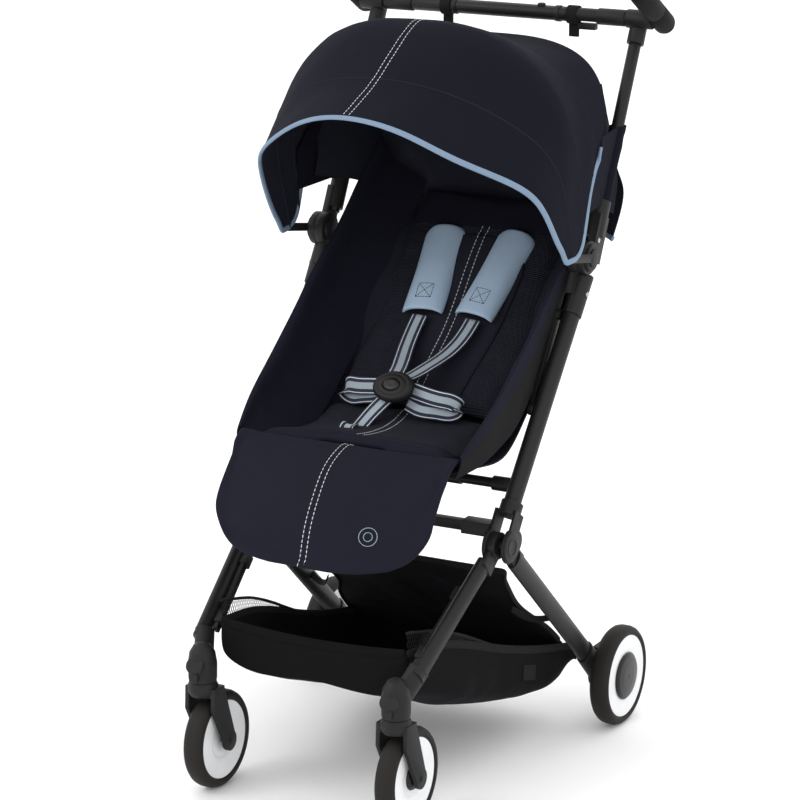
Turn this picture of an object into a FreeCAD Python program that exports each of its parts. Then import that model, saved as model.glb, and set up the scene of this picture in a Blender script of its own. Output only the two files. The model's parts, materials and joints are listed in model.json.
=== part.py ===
import FreeCAD, Part
import math
import os
import Sketcher
from FreeCAD import Placement, Rotation, Vector

# Compact folding stroller, millimetres.
# +X is the child's left-hand side seen from the front, -Y is the front, +Z is up.
# The origin is on the floor, midway between the wheels.
# A point (y, z) lies in a side-view plane of constant X; "forward" is -Y.

doc = FreeCAD.newDocument("stroller")
sheet = doc.addObject("Spreadsheet::Sheet", "Dimensions")

DIMENSIONS = {
    # push tubes, from the central pivot up to the handle hinge
    "push_half_wide": 14, "push_half_thick": 12, "push_length": 358, "push_angle": 54.6,
    # handle tubes and cross tube
    "handle_radius": 9, "handle_length": 312, "handle_angle": 63.43, "handle_plane": 212,
    "cross_radius": 10.5, "cross_end_radius": 12, "cross_half_span": 198,
    "cross_sleeve_half": 92, "collar_radius": 12.5,
    "grip_radius": 16, "grip_length": 112, "grip_plane": 244, "grip_cap_length": 17,
    # legs
    "front_leg_half_wide": 14.5, "front_leg_half_thick": 9.5, "front_leg_length": 196,
    "rear_leg_half_wide": 16, "rear_leg_half_thick": 8.5, "rear_leg_length": 335,
    # hinge and pivot parts
    "hinge_disc_radius": 24, "pivot_disc_radius": 23, "pin_radius": 4, "running_gap": 0.05,
    "pivot_ring_radius": 12.25, "screw_radius": 3.6,
    # front wheels and castors
    "front_wheel_radius": 70, "front_rim_radius": 56, "front_hub_radius": 17,
    "tyre_half_width": 15, "front_wheel_plane": 151.5, "castor_radius": 19,
    "castor_trail": 31, "axle_radius": 4, "fork_arm_thick": 6,
    # rear wheels
    "rear_wheel_radius": 74, "rear_rim_radius": 61, "rear_cap_radius": 35.6,
    "rear_wheel_plane": 242,
    # links between the two sides
    "brace_radius": 9, "brace_half_span": 182, "link_bar_thick": 6, "link_bar_wide": 14,
    # soft goods
    "fabric_thick": 2.4, "panel_thick": 18, "seat_half_width": 158, "back_half_width": 146,
    "pad_thick": 20, "pad_width": 60, "strap_width": 24, "strap_thick": 2.5, "hem_rod_radius": 5,
    # controls
    "button_radius": 6, "buckle_half_wide": 31, "buckle_half_high": 20, "buckle_thick": 14,
}

for row, (alias, value) in enumerate(DIMENSIONS.items(), start=1):
    sheet.set(f"A{row}", alias)
    sheet.set(f"B{row}", str(value))
    sheet.setAlias(f"B{row}", alias)
doc.recompute()


def dim(alias):
    return float(sheet.get(alias))


# ---------------------------------------------------------------- side-view layout

PIVOT = (-95.0, 354.0)            # common pivot of the legs and push tube
REAR_PIN = (-74.5, 356.3)         # rear leg hinge, just behind the common pivot
HINGE = (138.0, 716.0)            # hinge between push tube and handle tube
PUSH_TOP = (158.0, 710.0)         # push tube line where it ends in the hinge housing
HANDLE_FOOT = (163.0, 716.0)      # handle tube line at the hinge's height
CROSS_TUBE = (309.0, 1030.0)      # axis of the tube between the two handle tubes
RECLINE_AXIS = (33.0, 483.5)
LEG_REST_AXIS = (-168.0, 479.0)
FRONT_AXLE = (-276.0, 70.0)
REAR_AXLE = (212.6, 74.0)
FRONT_LEG_FOOT = (-284.0, 217.0)
CASTOR_Y = FRONT_AXLE[0] - dim("castor_trail")
CASTOR_X = 152.7
SWIVEL_Z = 165.0                  # joint between castor housing and fork


def unit(angle):
    return math.cos(math.radians(angle)), math.sin(math.radians(angle))


def along(start, angle, length):
    c, s = unit(angle)
    return start[0] + c * length, start[1] + s * length


def at(x, point):
    return Vector(x, point[0], point[1])


def aim(z_axis, x_hint):
    """Rotation whose local Z lies along z_axis and whose local X is nearest to x_hint."""
    z = Vector(z_axis).normalize()
    x = (Vector(x_hint) - z * z.dot(Vector(x_hint))).normalize()
    y = z.cross(x)
    return Rotation(FreeCAD.Matrix(x.x, y.x, z.x, 0, x.y, y.y, z.y, 0, x.z, y.z, z.z, 0, 0, 0, 0, 1))


X_AXIS = Vector(1, 0, 0)
Y_AXIS = Vector(0, 1, 0)
Z_AXIS = Vector(0, 0, 1)
ALONG_X = aim(X_AXIS, Y_AXIS)     # local X is world Y, local Y is world Z, local Z is world X


# ---------------------------------------------------------------- object helpers

kept = []
stock = {}    # features that other sub-parts are cut to fit


def keep(obj, label):
    obj.Label = label
    kept.append(obj)
    return obj


def bind(obj, **expressions):
    for name, text in expressions.items():
        obj.setExpression(name, text)
    return obj


def plane_of(body, role):
    return next(f for f in body.Origin.OriginFeatures if f.Role == role)


def new_body(label, placement):
    body = doc.addObject("PartDesign::Body", label)
    body.Placement = placement
    return body


def new_sketch(body, role):
    sketch = body.newObject("Sketcher::SketchObject", body.Name + "Sketch")
    sketch.AttachmentSupport = [(plane_of(body, role), "")]
    sketch.MapMode = "FlatFace"
    return sketch


def outline(sketch, points):
    """A closed outline of straight lines; each corner is tied to the sheet by its two expressions."""
    corners = []
    for pair in points:
        values = [sheet_value(text) for text in pair]
        corners.append(Vector(values[0], values[1], 0))
    count = len(corners)
    for n, corner in enumerate(corners):
        sketch.addGeometry(Part.LineSegment(corner, corners[(n + 1) % count]), False)
    for n in range(count):
        sketch.addConstraint(Sketcher.Constraint("Coincident", n, 2, (n + 1) % count, 1))
    for n, pair in enumerate(points):
        for kind, axis, text, value in (
            ("DistanceX", -2, pair[0], corners[n].x),
            ("DistanceY", -1, pair[1], corners[n].y),
        ):
            if abs(value) < 1e-9:
                sketch.addConstraint(Sketcher.Constraint("PointOnObject", n, 1, axis))
            else:
                index = sketch.addConstraint(Sketcher.Constraint(kind, -1, 1, n, 1, value))
                sketch.setExpression(f"Constraints[{index}]", text)


def sheet_value(text):
    """The value of an expression over the sheet's aliases."""
    probe.setExpression("Value", text)
    probe.recompute()
    return float(probe.Value)


probe = doc.addObject("App::FeaturePython", "ExpressionProbe")
probe.addProperty("App::PropertyFloat", "Value")


def revolved(label, points, placement):
    """A solid turned about local Z; points are (radius, height) expressions."""
    body = new_body(label, placement)
    sketch = new_sketch(body, "XZ_Plane")
    outline(sketch, points)
    turn = body.newObject("PartDesign::Revolution", label + "Turn")
    turn.Profile = sketch
    turn.ReferenceAxis = (sketch, ["V_Axis"])
    turn.Angle = 360
    return body


def plate(label, points, thickness, placement):
    """An outline in the local XY plane, padded along local Z."""
    body = new_body(label, placement)
    sketch = new_sketch(body, "XY_Plane")
    outline(sketch, points)
    pad = body.newObject("PartDesign::Pad", label + "Pad")
    pad.Profile = sketch
    pad.setExpression("Length", thickness)
    return body


def oval_tube(label, half_wide, half_thick, length, placement):
    """A bar of oval section along local Z, wide along local X."""
    body = new_body(label, placement)
    sketch = new_sketch(body, "XY_Plane")
    wide, thick = sheet_value(half_wide), sheet_value(half_thick)
    centre = Vector(0, 0, 0)
    sketch.addGeometry(Part.Ellipse(Vector(wide, 0, 0), Vector(0, thick, 0), centre), False)
    sketch.exposeInternalGeometry(0)
    sketch.addConstraint(Sketcher.Constraint("Coincident", 0, 3, -1, 1))
    sketch.addConstraint(Sketcher.Constraint("PointOnObject", 1, 1, -1))
    major = sketch.addConstraint(Sketcher.Constraint("Distance", 1, 2 * wide))
    minor = sketch.addConstraint(Sketcher.Constraint("Distance", 2, 2 * thick))
    sketch.setExpression(f"Constraints[{major}]", f"2 * {half_wide}")
    sketch.setExpression(f"Constraints[{minor}]", f"2 * {half_thick}")
    pad = body.newObject("PartDesign::Pad", label + "Pad")
    pad.Profile = sketch
    pad.setExpression("Length", length)
    return body


def cylinder(name, base, direction, radius, height):
    obj = doc.addObject("Part::Cylinder", name)
    obj.Placement = Placement(base, aim(direction, Vector(0.31, 0.52, 0.17)))
    return bind(obj, Radius=radius, Height=height)


def disc_x(name, point, low_x, high_x, radius):
    return cylinder(name, at(low_x, point), X_AXIS, radius, str(high_x - low_x))


def block(name, placement, length, width, height):
    """A box centred on its placement in local X and Y, rising along local Z."""
    obj = doc.addObject("Part::Box", name)
    bind(obj, Length=length, Width=width, Height=height)
    half = Vector(-sheet_value(length) / 2, -sheet_value(width) / 2, 0)
    obj.Placement = placement.multiply(Placement(half, Rotation()))
    return obj


def fuse(label, *shapes):
    obj = doc.addObject("Part::MultiFuse", label)
    obj.Shapes = list(shapes)
    obj.Refine = True
    return obj


def cut(label, base, *tools):
    obj = doc.addObject("Part::Cut", label)
    obj.Base = base
    obj.Tool = tools[0] if len(tools) == 1 else fuse(label + "Tools", *tools)
    return obj


def group(label, *shapes):
    obj = doc.addObject("Part::Compound", label)
    obj.Links = list(shapes)
    return obj


def mirrored(obj, label):
    twin = doc.addObject("Part::Mirroring", label)
    twin.Source = obj
    twin.Normal = X_AXIS
    twin.Base = Vector(0, 0, 0)
    return twin


def keep_pair(right, name):
    keep(right, name + "_right")
    keep(mirrored(right, name + "Mirror"), name + "_left")


def keep_both(right, label):
    """The same small piece on both sides, as one node of separate solids."""
    keep(group(label + "Both", right, mirrored(right, label + "Twin")), label)


def solid_feature(name, shape):
    obj = doc.addObject("Part::Feature", name)
    obj.Shape = shape
    obj.Placement = Placement()
    return obj


def spline_edge(points):
    curve = Part.BSplineCurve()
    curve.interpolate([Vector(p) for p in points])
    return curve.toShape()


# ---------------------------------------------------------------- frame sides

def push_tube():
    start = along(PIVOT, dim("push_angle"), 46)
    low, high = at(200, start), at(211.4, along(start, dim("push_angle"), dim("push_length")))
    tilt = aim(high - low, Vector(0, -unit(dim("push_angle"))[1], unit(dim("push_angle"))[0]))
    tube = oval_tube("PushTube", "Dimensions.push_half_wide", "Dimensions.push_half_thick",
                     "Dimensions.push_length", Placement(low, tilt))
    stock["push_tube"] = tube
    keep_both(tube, "push_tubes")


def pivot_housing():
    """Two cheeks around the leg hinges, joined to a collar on the push tube."""
    angle = dim("push_angle")
    collar_base = at(200.6, along(PIVOT, angle, 44))
    lean = aim(at(12 * 20 / 376, along((0, 0), angle, 20)), Vector(0, -0.815, 0.579))
    collar = oval_tube("PivotCollar", "17", "15.5", "20", Placement(collar_base, lean))
    parts = [collar]
    for side, low_x, high_x in (("Outer", 213.5, 217.0), ("Inner", 184.0, 188.5)):
        parts.append(disc_x("PivotCheek" + side, PIVOT, low_x, high_x, "Dimensions.pivot_disc_radius"))
        arm = block("PivotArm" + side, Placement(at(low_x, PIVOT), ALONG_X), "1", "1", "1")
        bind(arm, Length="50", Width="27", Height=str(high_x - low_x))
        arm.Placement = Placement(at(low_x, PIVOT), Rotation(X_AXIS, angle).multiply(ALONG_X)).multiply(
            Placement(Vector(0, -13.5, 0), Rotation()))
        parts.append(arm)
    parts.append(disc_x("PivotLobe", REAR_PIN, 213.5, 217.0, "15"))
    parts.append(disc_x("PivotFrontPin", PIVOT, 188.0, 214.0, "Dimensions.pin_radius"))
    parts.append(disc_x("PivotRearPin", REAR_PIN, 201.8, 214.0, "Dimensions.pin_radius"))
    keep_both(cut("PivotHousing", fuse("PivotHousingSolid", *parts), stock["push_tube"]), "pivot_housings")


def pivot_cap():
    """Round cover disc with a plain raised ring."""
    points = [("0", "0"), ("Dimensions.pivot_disc_radius - 1", "0"),
              ("Dimensions.pivot_disc_radius - 1", "1.4"), ("Dimensions.pivot_disc_radius - 3", "2.6"),
              ("Dimensions.pivot_ring_radius + 1.2", "2.9"), ("Dimensions.pivot_ring_radius + 0.8", "3.7"),
              ("Dimensions.pivot_ring_radius - 0.8", "3.7"), ("Dimensions.pivot_ring_radius - 1.2", "2.9"),
              ("0", "2.9")]
    cap = revolved("PivotCap", points, Placement(at(217.0, PIVOT), ALONG_X))
    keep_both(cap, "pivot_caps")


def hinge_lower():
    """Frame half of the handle hinge: an inner disc and a collar on the push tube's top."""
    angle = dim("push_angle")
    disc = disc_x("HingeLowerDisc", HINGE, 198.5, 211.7, "Dimensions.hinge_disc_radius")
    boss = disc_x("HingeLowerBoss", HINGE, 195.5, 199.0, "16")
    pin = disc_x("HingePin", HINGE, 211.0, 224.0, "Dimensions.pin_radius")
    top = along(PUSH_TOP, angle, -88)
    collar = oval_tube("HingeLowerCollar", "16", "14", "62", Placement(
        at(209.3, top), aim(at(12 * 62 / 376, along((0, 0), angle, 62)), Vector(0, -1, 0.7))))
    bridge = block("HingeLowerBridge", Placement(), "1", "1", "1")
    bind(bridge, Length="60", Width="34", Height="12.7")
    bridge.Placement = Placement(at(199.0, along(PUSH_TOP, angle, -62)),
                                 Rotation(X_AXIS, angle).multiply(ALONG_X)).multiply(
        Placement(Vector(0, -15, 0), Rotation()))
    room = disc_x("HingeLowerRoom", HINGE, 211.9, 230.0, "Dimensions.hinge_disc_radius + 0.6")
    shell = cut("HingeLowerShell", fuse("HingeLowerSolid", disc, boss, collar, bridge), room, stock["push_tube"])
    stock["hinge_lower"] = fuse("HingeLower", shell, pin)
    keep_both(stock["hinge_lower"], "hinge_lowers")


def hinge_upper():
    """Handle half of the hinge: an outer disc and a long collar on the handle tube's foot."""
    angle = dim("handle_angle")
    disc = disc_x("HingeUpperDisc", HINGE, 212.3, 222.5, "Dimensions.hinge_disc_radius")
    face = cylinder("HingeUpperFace", at(222.0, HINGE), X_AXIS, "20", "3.5")
    collar = oval_tube("HingeUpperCollar", "14.5", "12.5", "52", Placement(
        at(212.5, along(HANDLE_FOOT, angle, 26)), aim(at(0, unit(angle)), Vector(0, 1, -0.5))))
    bridge = block("HingeUpperBridge", Placement(), "1", "1", "1")
    bind(bridge, Length="68", Width="30", Height="10")
    bridge.Placement = Placement(at(212.3, HINGE), Rotation(X_AXIS, angle).multiply(ALONG_X)).multiply(
        Placement(Vector(0, -36.5, 0), Rotation()))
    hole = disc_x("HingeUpperHole", HINGE, 210.0, 224.05, "Dimensions.pin_radius + Dimensions.running_gap")
    room = disc_x("HingeUpperRoom", HINGE, 190.0, 212.1, "Dimensions.hinge_disc_radius + 0.6")
    solid = fuse("HingeUpperSolid", disc, face, collar, bridge)
    body = cut("HingeUpper", solid, hole, room, stock["handle_tube"])
    keep_both(body, "hinge_uppers")


def hinge_cap():
    """Plain cap over the handle hinge, with a shallow dish."""
    points = [("0", "0"), ("19", "0"), ("19", "1.2"), ("17.5", "2.4"), ("12", "2.4"), ("11", "1.6"), ("0", "1.6")]
    cap = revolved("HingeCap", points, Placement(at(225.5, HINGE), ALONG_X))
    keep_both(cap, "hinge_caps")


def link_bar():
    """Flat bar inside the push tube, tying the pivot to the hinge lock, and its two clips."""
    low, high = (22.5, 519.0), (100.0, 639.0)
    length = math.dist(low, high)
    angle = math.degrees(math.atan2(high[1] - low[1], high[0] - low[0]))
    bar = block("LinkBar", Placement(), "1", "1", "1")
    bind(bar, Length=str(round(length, 3)), Width="Dimensions.link_bar_wide", Height="Dimensions.link_bar_thick")
    bar.Placement = Placement(at(188.0, low), Rotation(X_AXIS, angle).multiply(ALONG_X)).multiply(
        Placement(Vector(0, -dim("link_bar_wide") / 2, 0), Rotation()))
    ends = [disc_x("LinkBarEnd", p, 187.0, 195.0, "8.5") for p in (low, high)]
    clips = [disc_x("LinkClip", p, 195.1, 197.4, "8") for p in (low, high)]
    solids = group("LinkBarAndClips", fuse("LinkBarSolid", bar, *ends), *clips)
    keep_both(cut("LinkBar", solids, stock["push_tube"], stock["hinge_lower"]), "link_bars")


def frame_screws():
    """Round screw heads: one on the handle's hinge plate, one seated on the frame's hinge collar."""
    upper = disc_x("HandleScrewHead", (165.0, 736.0), 222.3, 223.9, "Dimensions.screw_radius")
    keep_both(upper, "handle_screws")
    lower = disc_x("FrameScrewSolid", (125.5, 666.0), 223.0, 225.8, "Dimensions.screw_radius")
    keep_both(cut("FrameScrewHead", lower, stock["hinge_lower"]), "frame_screws")


# ---------------------------------------------------------------- cross links of the frame

def seat_brace():
    """Telescoping tube across the frame under the seat, with a thicker sleeve in the middle."""
    point = (-34.0, 423.0)
    inner = cylinder("BraceTube", at(-182, point), X_AXIS, "Dimensions.brace_radius - 2", "2 * Dimensions.brace_half_span")
    sleeve = cylinder("BraceSleeve", at(-110, point), X_AXIS, "Dimensions.brace_radius", "220")
    ends = []
    for side in (-1, 1):
        low = 160 if side > 0 else -189.2
        ends.append(disc_x("BraceEnd", point, low, low + 29.2, "Dimensions.brace_radius + 1.5"))
    keep(fuse("SeatBrace", inner, sleeve, *ends), "seat_brace")


def lower_cross_link():
    """Pair of arms from the pivots to a centre block, which carry the width of the frame."""
    point = (-86.0, 374.0)
    bar = block("CrossLinkBar", Placement(at(-181, point), ALONG_X), "16", "13", "362")
    centre = block("CrossLinkBlock", Placement(at(-34, point), ALONG_X), "30", "24", "68")
    sides = []
    for low in (-184, 141):
        sides.append(block("CrossLinkEnd", Placement(at(low, point), ALONG_X), "24", "19", "43"))
    keep(fuse("LowerCrossLink", bar, centre, *sides), "lower_cross_link")


# ---------------------------------------------------------------- handle

def handle_tube():
    """Straight tube, swaged a little where it runs inside its collars."""
    angle = dim("handle_angle")
    direction = at(0, unit(angle))
    base = at(dim("handle_plane"), along(HANDLE_FOOT, angle, 20))
    core = cylinder("HandleTubeCore", base, direction, "Dimensions.handle_radius - 0.2", "Dimensions.handle_length")
    start = at(dim("handle_plane"), along(HANDLE_FOOT, angle, 79))
    skin = cylinder("HandleTubeSkin", start, direction, "Dimensions.handle_radius", "232")
    stock["handle_tube"] = fuse("HandleTube", core, skin)
    keep_both(stock["handle_tube"], "handle_tubes")


def handle_collar():
    """Moulded corner that joins the handle tube, the cross tube and the grip."""
    angle = dim("handle_angle")
    foot = along(HANDLE_FOOT, angle, 312)
    sleeve = cylinder("CollarSleeve", at(dim("handle_plane"), foot), at(0, unit(angle)),
                      "Dimensions.collar_radius", "36")
    dome = doc.addObject("Part::Sphere", "CollarDome")
    dome.setExpression("Radius", "Dimensions.collar_radius")
    dome.Placement = Placement(at(dim("handle_plane"), along(foot, angle, 36)), Rotation())
    socket = cylinder("CollarSocket", at(dim("cross_half_span"), CROSS_TUBE), X_AXIS, "13.5", "38")
    stock["handle_collar"] = cut("HandleCollar", fuse("CollarSolid", sleeve, dome, socket), stock["handle_tube"])
    keep_both(stock["handle_collar"], "handle_collars")


def cross_tube():
    centre = at(0, CROSS_TUBE)
    span = Vector(dim("cross_half_span"), 0, 0)
    tube = cylinder("CrossTube", centre - span, X_AXIS, "Dimensions.cross_radius", "2 * Dimensions.cross_half_span")
    opening = disc_x("TriggerSlot", CROSS_TUBE, 118, 150, "Dimensions.cross_radius + 5")
    below = block("TriggerSlotBlock", Placement(at(118, (CROSS_TUBE[0], CROSS_TUBE[1] - 12)), ALONG_X), "14", "11", "32")
    pocket = doc.addObject("Part::Common", "TriggerPocket")
    pocket.Base = opening
    pocket.Tool = below
    well = cylinder("ButtonWell", at(60, (CROSS_TUBE[0], CROSS_TUBE[1] + 4)), Z_AXIS, "Dimensions.button_radius + 0.4", "12")
    keep(cut("CrossTubeCut", tube, pocket, well), "cross_tube")


def cross_sleeves():
    """End pieces of the telescoping cross tube, and the sleeve at its middle."""
    rings = []
    for low, high, radius in ((-196, -150, 12), (152, 196, 12), (-84, -76, 11.8), (84, 92, 11.8)):
        outer = disc_x("SleeveOuter", CROSS_TUBE, low, high, str(radius))
        inner = disc_x("SleeveInner", CROSS_TUBE, low - 1, high + 1, "Dimensions.cross_radius")
        rings.append(cut("SleeveRing", outer, inner))
    keep(group("CrossSleeves", *rings), "cross_sleeves")


def grips():
    """Rounded hand grips that point forward and up, square to the handle tubes."""
    direction = Vector(0, -unit(dim("handle_angle"))[1] * 0.953, unit(dim("handle_angle"))[0] * 1.172)
    low = Vector(dim("grip_plane"), 331, 1024)
    turned = aim(direction, X_AXIS)
    sleeve = [("0", "0"), ("Dimensions.grip_radius", "0"), ("Dimensions.grip_radius", "37"),
              ("Dimensions.grip_radius - 0.7", "38"), ("Dimensions.grip_radius - 0.7", "39"),
              ("Dimensions.grip_radius", "40"), ("Dimensions.grip_radius", "Dimensions.grip_length - 12"),
              ("Dimensions.grip_radius - 2", "Dimensions.grip_length - 5"),
              ("Dimensions.grip_radius - 7", "Dimensions.grip_length"), ("0", "Dimensions.grip_length")]
    grip = revolved("GripSleeve", sleeve, Placement(low, turned))
    keep_both(cut("Grip", grip, stock["handle_collar"]), "grips")
    cap = [("0", "0"), ("0", "-15.5"), ("8", "-13.6"), ("13", "-9.3"), ("15.4", "-4"),
           ("Dimensions.grip_radius - 0.1", "0")]
    keep_both(revolved("GripCap", cap, Placement(low, turned)), "grip_caps")


def fold_controls():
    """Trigger under the cross tube and round lock button on it."""
    point = (CROSS_TUBE[0], CROSS_TUBE[1] - 15.5)
    trigger = block("FoldTriggerBar", Placement(at(120, point), ALONG_X), "10", "9", "28")
    keep(trigger, "fold_trigger")
    base = at(60, (CROSS_TUBE[0], CROSS_TUBE[1] + 6.5))
    points = [("0", "0"), ("Dimensions.button_radius", "0"), ("Dimensions.button_radius", "6"),
              ("Dimensions.button_radius - 1.5", "7"), ("0", "7")]
    keep(revolved("FoldButton", points, Placement(base, Rotation())), "fold_button")


def strap_hooks():
    """Loops on the cross tube and the recline straps that hang from them."""
    parts = []
    for x in (-93, 112):
        ring = disc_x("HookOuter", CROSS_TUBE, x - 8, x + 8, "13.4")
        hollow = disc_x("HookInner", CROSS_TUBE, x - 9, x + 9, "Dimensions.cross_radius + 0.05")
        tail = block("HookTail", Placement(Vector(x, CROSS_TUBE[0] + 1, CROSS_TUBE[1] - 32), Rotation()), "15", "4", "21")
        parts.append(cut("Hook", fuse("HookSolid", ring, tail), hollow))
    keep(group("StrapHooks", *parts), "strap_hooks")


# ---------------------------------------------------------------- legs

def front_leg():
    start, end = Vector(188, -118, 333), Vector(171, *FRONT_LEG_FOOT)
    direction = end - start
    tube = oval_tube("FrontLegTube", "Dimensions.front_leg_half_wide", "Dimensions.front_leg_half_thick",
                     str(round(direction.Length, 2)), Placement(start, aim(direction, Vector(0, 0.59, -0.81))))
    disc = disc_x("FrontLegDisc", PIVOT, 189.0, 201.0, "19")
    arm = block("FrontLegArm", Placement(), "1", "1", "1")
    bind(arm, Length="40", Width="28", Height="8.5")
    arm.Placement = Placement(at(189.0, (PIVOT[0], PIVOT[1] - 1)), Rotation(X_AXIS, 216).multiply(ALONG_X)).multiply(
        Placement(Vector(0, -11, 0), Rotation()))
    bore = disc_x("FrontLegBore", PIVOT, 187.0, 203.0, "Dimensions.pin_radius + Dimensions.running_gap")
    stock["front_leg"] = cut("FrontLeg", fuse("FrontLegSolid", tube, disc, arm), bore)
    keep_pair(stock["front_leg"], "front_leg")


def front_rail():
    """Slim guide rail along the inner face of the front leg, with its two clips."""
    start, end = Vector(171, -150, 303), Vector(158, -262, 224)
    direction = end - start
    tilt = aim(direction, Vector(0, 0.59, -0.81))
    bar = block("FrontRailBar", Placement(start, tilt), "12", "6", str(round(direction.Length, 2)))
    parts = [bar]
    for n, share in enumerate((0.02, 0.78)):
        clip = block(f"FrontRailClip{n}", Placement(start + direction * share, tilt), "17", "12", "20")
        parts.append(clip)
    rail = fuse("FrontRailSolid", *parts)
    keep_both(cut("FrontRail", rail, stock["front_leg"]), "front_rails")


def castor_housing():
    """Domed housing over the swivel, with a sleeve for the front leg's foot."""
    points = [("0", "0"), ("Dimensions.castor_radius", "0"), ("Dimensions.castor_radius + 1", "4"),
              ("Dimensions.castor_radius + 1.5", "26"), ("Dimensions.castor_radius - 1", "42"),
              ("Dimensions.castor_radius - 7", "52"), ("Dimensions.castor_radius - 14", "56"), ("0", "57")]
    dome = revolved("CastorDome", points, Placement(Vector(CASTOR_X, CASTOR_Y, SWIVEL_Z + 0.6), Rotation()))
    start = Vector(170, -272, 225.8)
    foot = Vector(CASTOR_X + 2, CASTOR_Y + 6, SWIVEL_Z + 24)
    sleeve = oval_tube("CastorSleeve", "18", "13", str(round((start - foot).Length, 2)),
                       Placement(foot, aim(start - foot, Vector(0, 0.59, -0.81))))
    face = cylinder("CastorFace", Vector(CASTOR_X, CASTOR_Y - 11, SWIVEL_Z + 22), Vector(0, -0.8, 0.6), "13", "13")
    stem = cylinder("CastorStem", Vector(CASTOR_X, CASTOR_Y, SWIVEL_Z - 15), Z_AXIS, "6", "18")
    slot = block("SwivelLockSlot", Placement(Vector(CASTOR_X, CASTOR_Y - 23.6, SWIVEL_Z + 0.4), Rotation()),
                 "13.6", "5.6", "19.2")
    solid = fuse("CastorSolid", dome, sleeve, face, stem)
    keep_both(cut("CastorHousing", solid, slot, stock["front_leg"]), "castor_housings")


def fork():
    """Swivelling fork with an arm on each side of the wheel, and the axle riveted into it."""
    head = [("6.05", "0"), ("Dimensions.castor_radius", "0"), ("Dimensions.castor_radius + 2.5", "-6"),
            ("Dimensions.castor_radius + 2.5", "-14"), ("Dimensions.castor_radius - 1", "-20.5"), ("6.05", "-20.5")]
    crown = revolved("ForkCrown", head, Placement(Vector(CASTOR_X, CASTOR_Y, SWIVEL_Z), Rotation()))
    bridge = block("ForkBridge", Placement(Vector(dim("front_wheel_plane"), CASTOR_Y + 3, SWIVEL_Z - 20.5), Rotation()),
                   "48", "26", "13")
    parts = [crown, bridge]
    y, z = FRONT_AXLE
    for side in (-1, 1):
        inner = dim("front_wheel_plane") + side * 18
        low_x = inner if side > 0 else inner - dim("fork_arm_thick")
        arm = [(str(CASTOR_Y - 10), str(SWIVEL_Z - 10)), (str(CASTOR_Y + 16), str(SWIVEL_Z - 10)),
               (str(y + 11), str(z + 8)), (str(y + 11), str(z - 6)), (str(y - 11), str(z - 6)),
               (str(CASTOR_Y - 12), str(SWIVEL_Z - 40))]
        parts.append(plate("ForkArm", arm, "Dimensions.fork_arm_thick", Placement(Vector(low_x, 0, 0), ALONG_X)))
        parts.append(disc_x("ForkBoss", FRONT_AXLE, low_x, low_x + dim("fork_arm_thick"), "14.5"))
    stem_room = cylinder("StemRoom", Vector(CASTOR_X, CASTOR_Y, SWIVEL_Z - 15.4), Z_AXIS, "6.05", "17")
    parts.append(disc_x("FrontAxle", FRONT_AXLE, 126.0, 177.0, "Dimensions.axle_radius"))
    keep_pair(cut("Fork", fuse("ForkSolid", *parts), stem_room), "fork")


def swivel_lock():
    """Small lever on the front of the castor housing that locks the swivel."""
    base = Vector(CASTOR_X, CASTOR_Y - 23.6, SWIVEL_Z + 6)
    lever = block("SwivelLockLever", Placement(base, Rotation()), "13", "5", "13")
    keep_pair(lever, "swivel_lock")


def wheel(name, radius, rim, point, plane, hub_points, bore, hub_name):
    """Tyre, rim and hub cap turned about the axle."""
    half = "Dimensions.tyre_half_width"
    place = Placement(at(plane, point), ALONG_X)
    tyre = [(rim, f"-{half} + 2"), (f"{rim} + 4", f"-{half}"), (f"{radius} - 5", f"-{half} + 1"),
            (f"{radius} - 1.5", f"-{half} + 5"), (radius, "-5"), (radius, "5"),
            (f"{radius} - 1.5", f"{half} - 5"), (f"{radius} - 5", f"{half} - 1"),
            (f"{rim} + 4", half), (rim, f"{half} - 2"), (f"{rim} - 4", "0")]
    rim_points = [(bore, "-9"), (f"{rim} * 0.45", "-9"), (f"{rim} * 0.5", "-11"), (f"{rim} - 3", "-12.5"),
                  (rim, "-13"), (f"{rim} - 4", "0"), (rim, "13"), (f"{rim} - 3", "12.5"),
                  (f"{rim} * 0.5", "11"), (f"{rim} * 0.45", "9"), (bore, "9")]
    keep_pair(revolved(name + "Tyre", tyre, place), name + "_tyre")
    keep_pair(revolved(name + "Rim", rim_points, place), name + "_rim")
    keep_pair(revolved(name + "Hub", hub_points, place), hub_name)


def front_wheels():
    bore = "Dimensions.axle_radius + Dimensions.running_gap"
    hub = [(bore, "9"), (bore, "16"), ("Dimensions.front_hub_radius - 6", "16"),
           ("Dimensions.front_hub_radius", "12.4"), ("Dimensions.front_hub_radius + 1.5", "9")]
    wheel("front", "Dimensions.front_wheel_radius", "Dimensions.front_rim_radius", FRONT_AXLE,
          dim("front_wheel_plane"), hub, bore, "front_hub")


def rear_wheels():
    bore = "5 + Dimensions.running_gap"
    cap = "Dimensions.rear_cap_radius"
    hub = [("0", "9"), ("27", "9"), ("30.5", "11.1"), (f"{cap} - 1.5", "11.5"), (cap, "13.6"),
           (f"{cap} - 4", "16.4"), (f"{cap} * 0.5", "18"), ("0", "18.4")]
    wheel("rear", "Dimensions.rear_wheel_radius", "Dimensions.rear_rim_radius", REAR_AXLE,
          dim("rear_wheel_plane"), hub, bore, "rear_cap")


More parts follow.
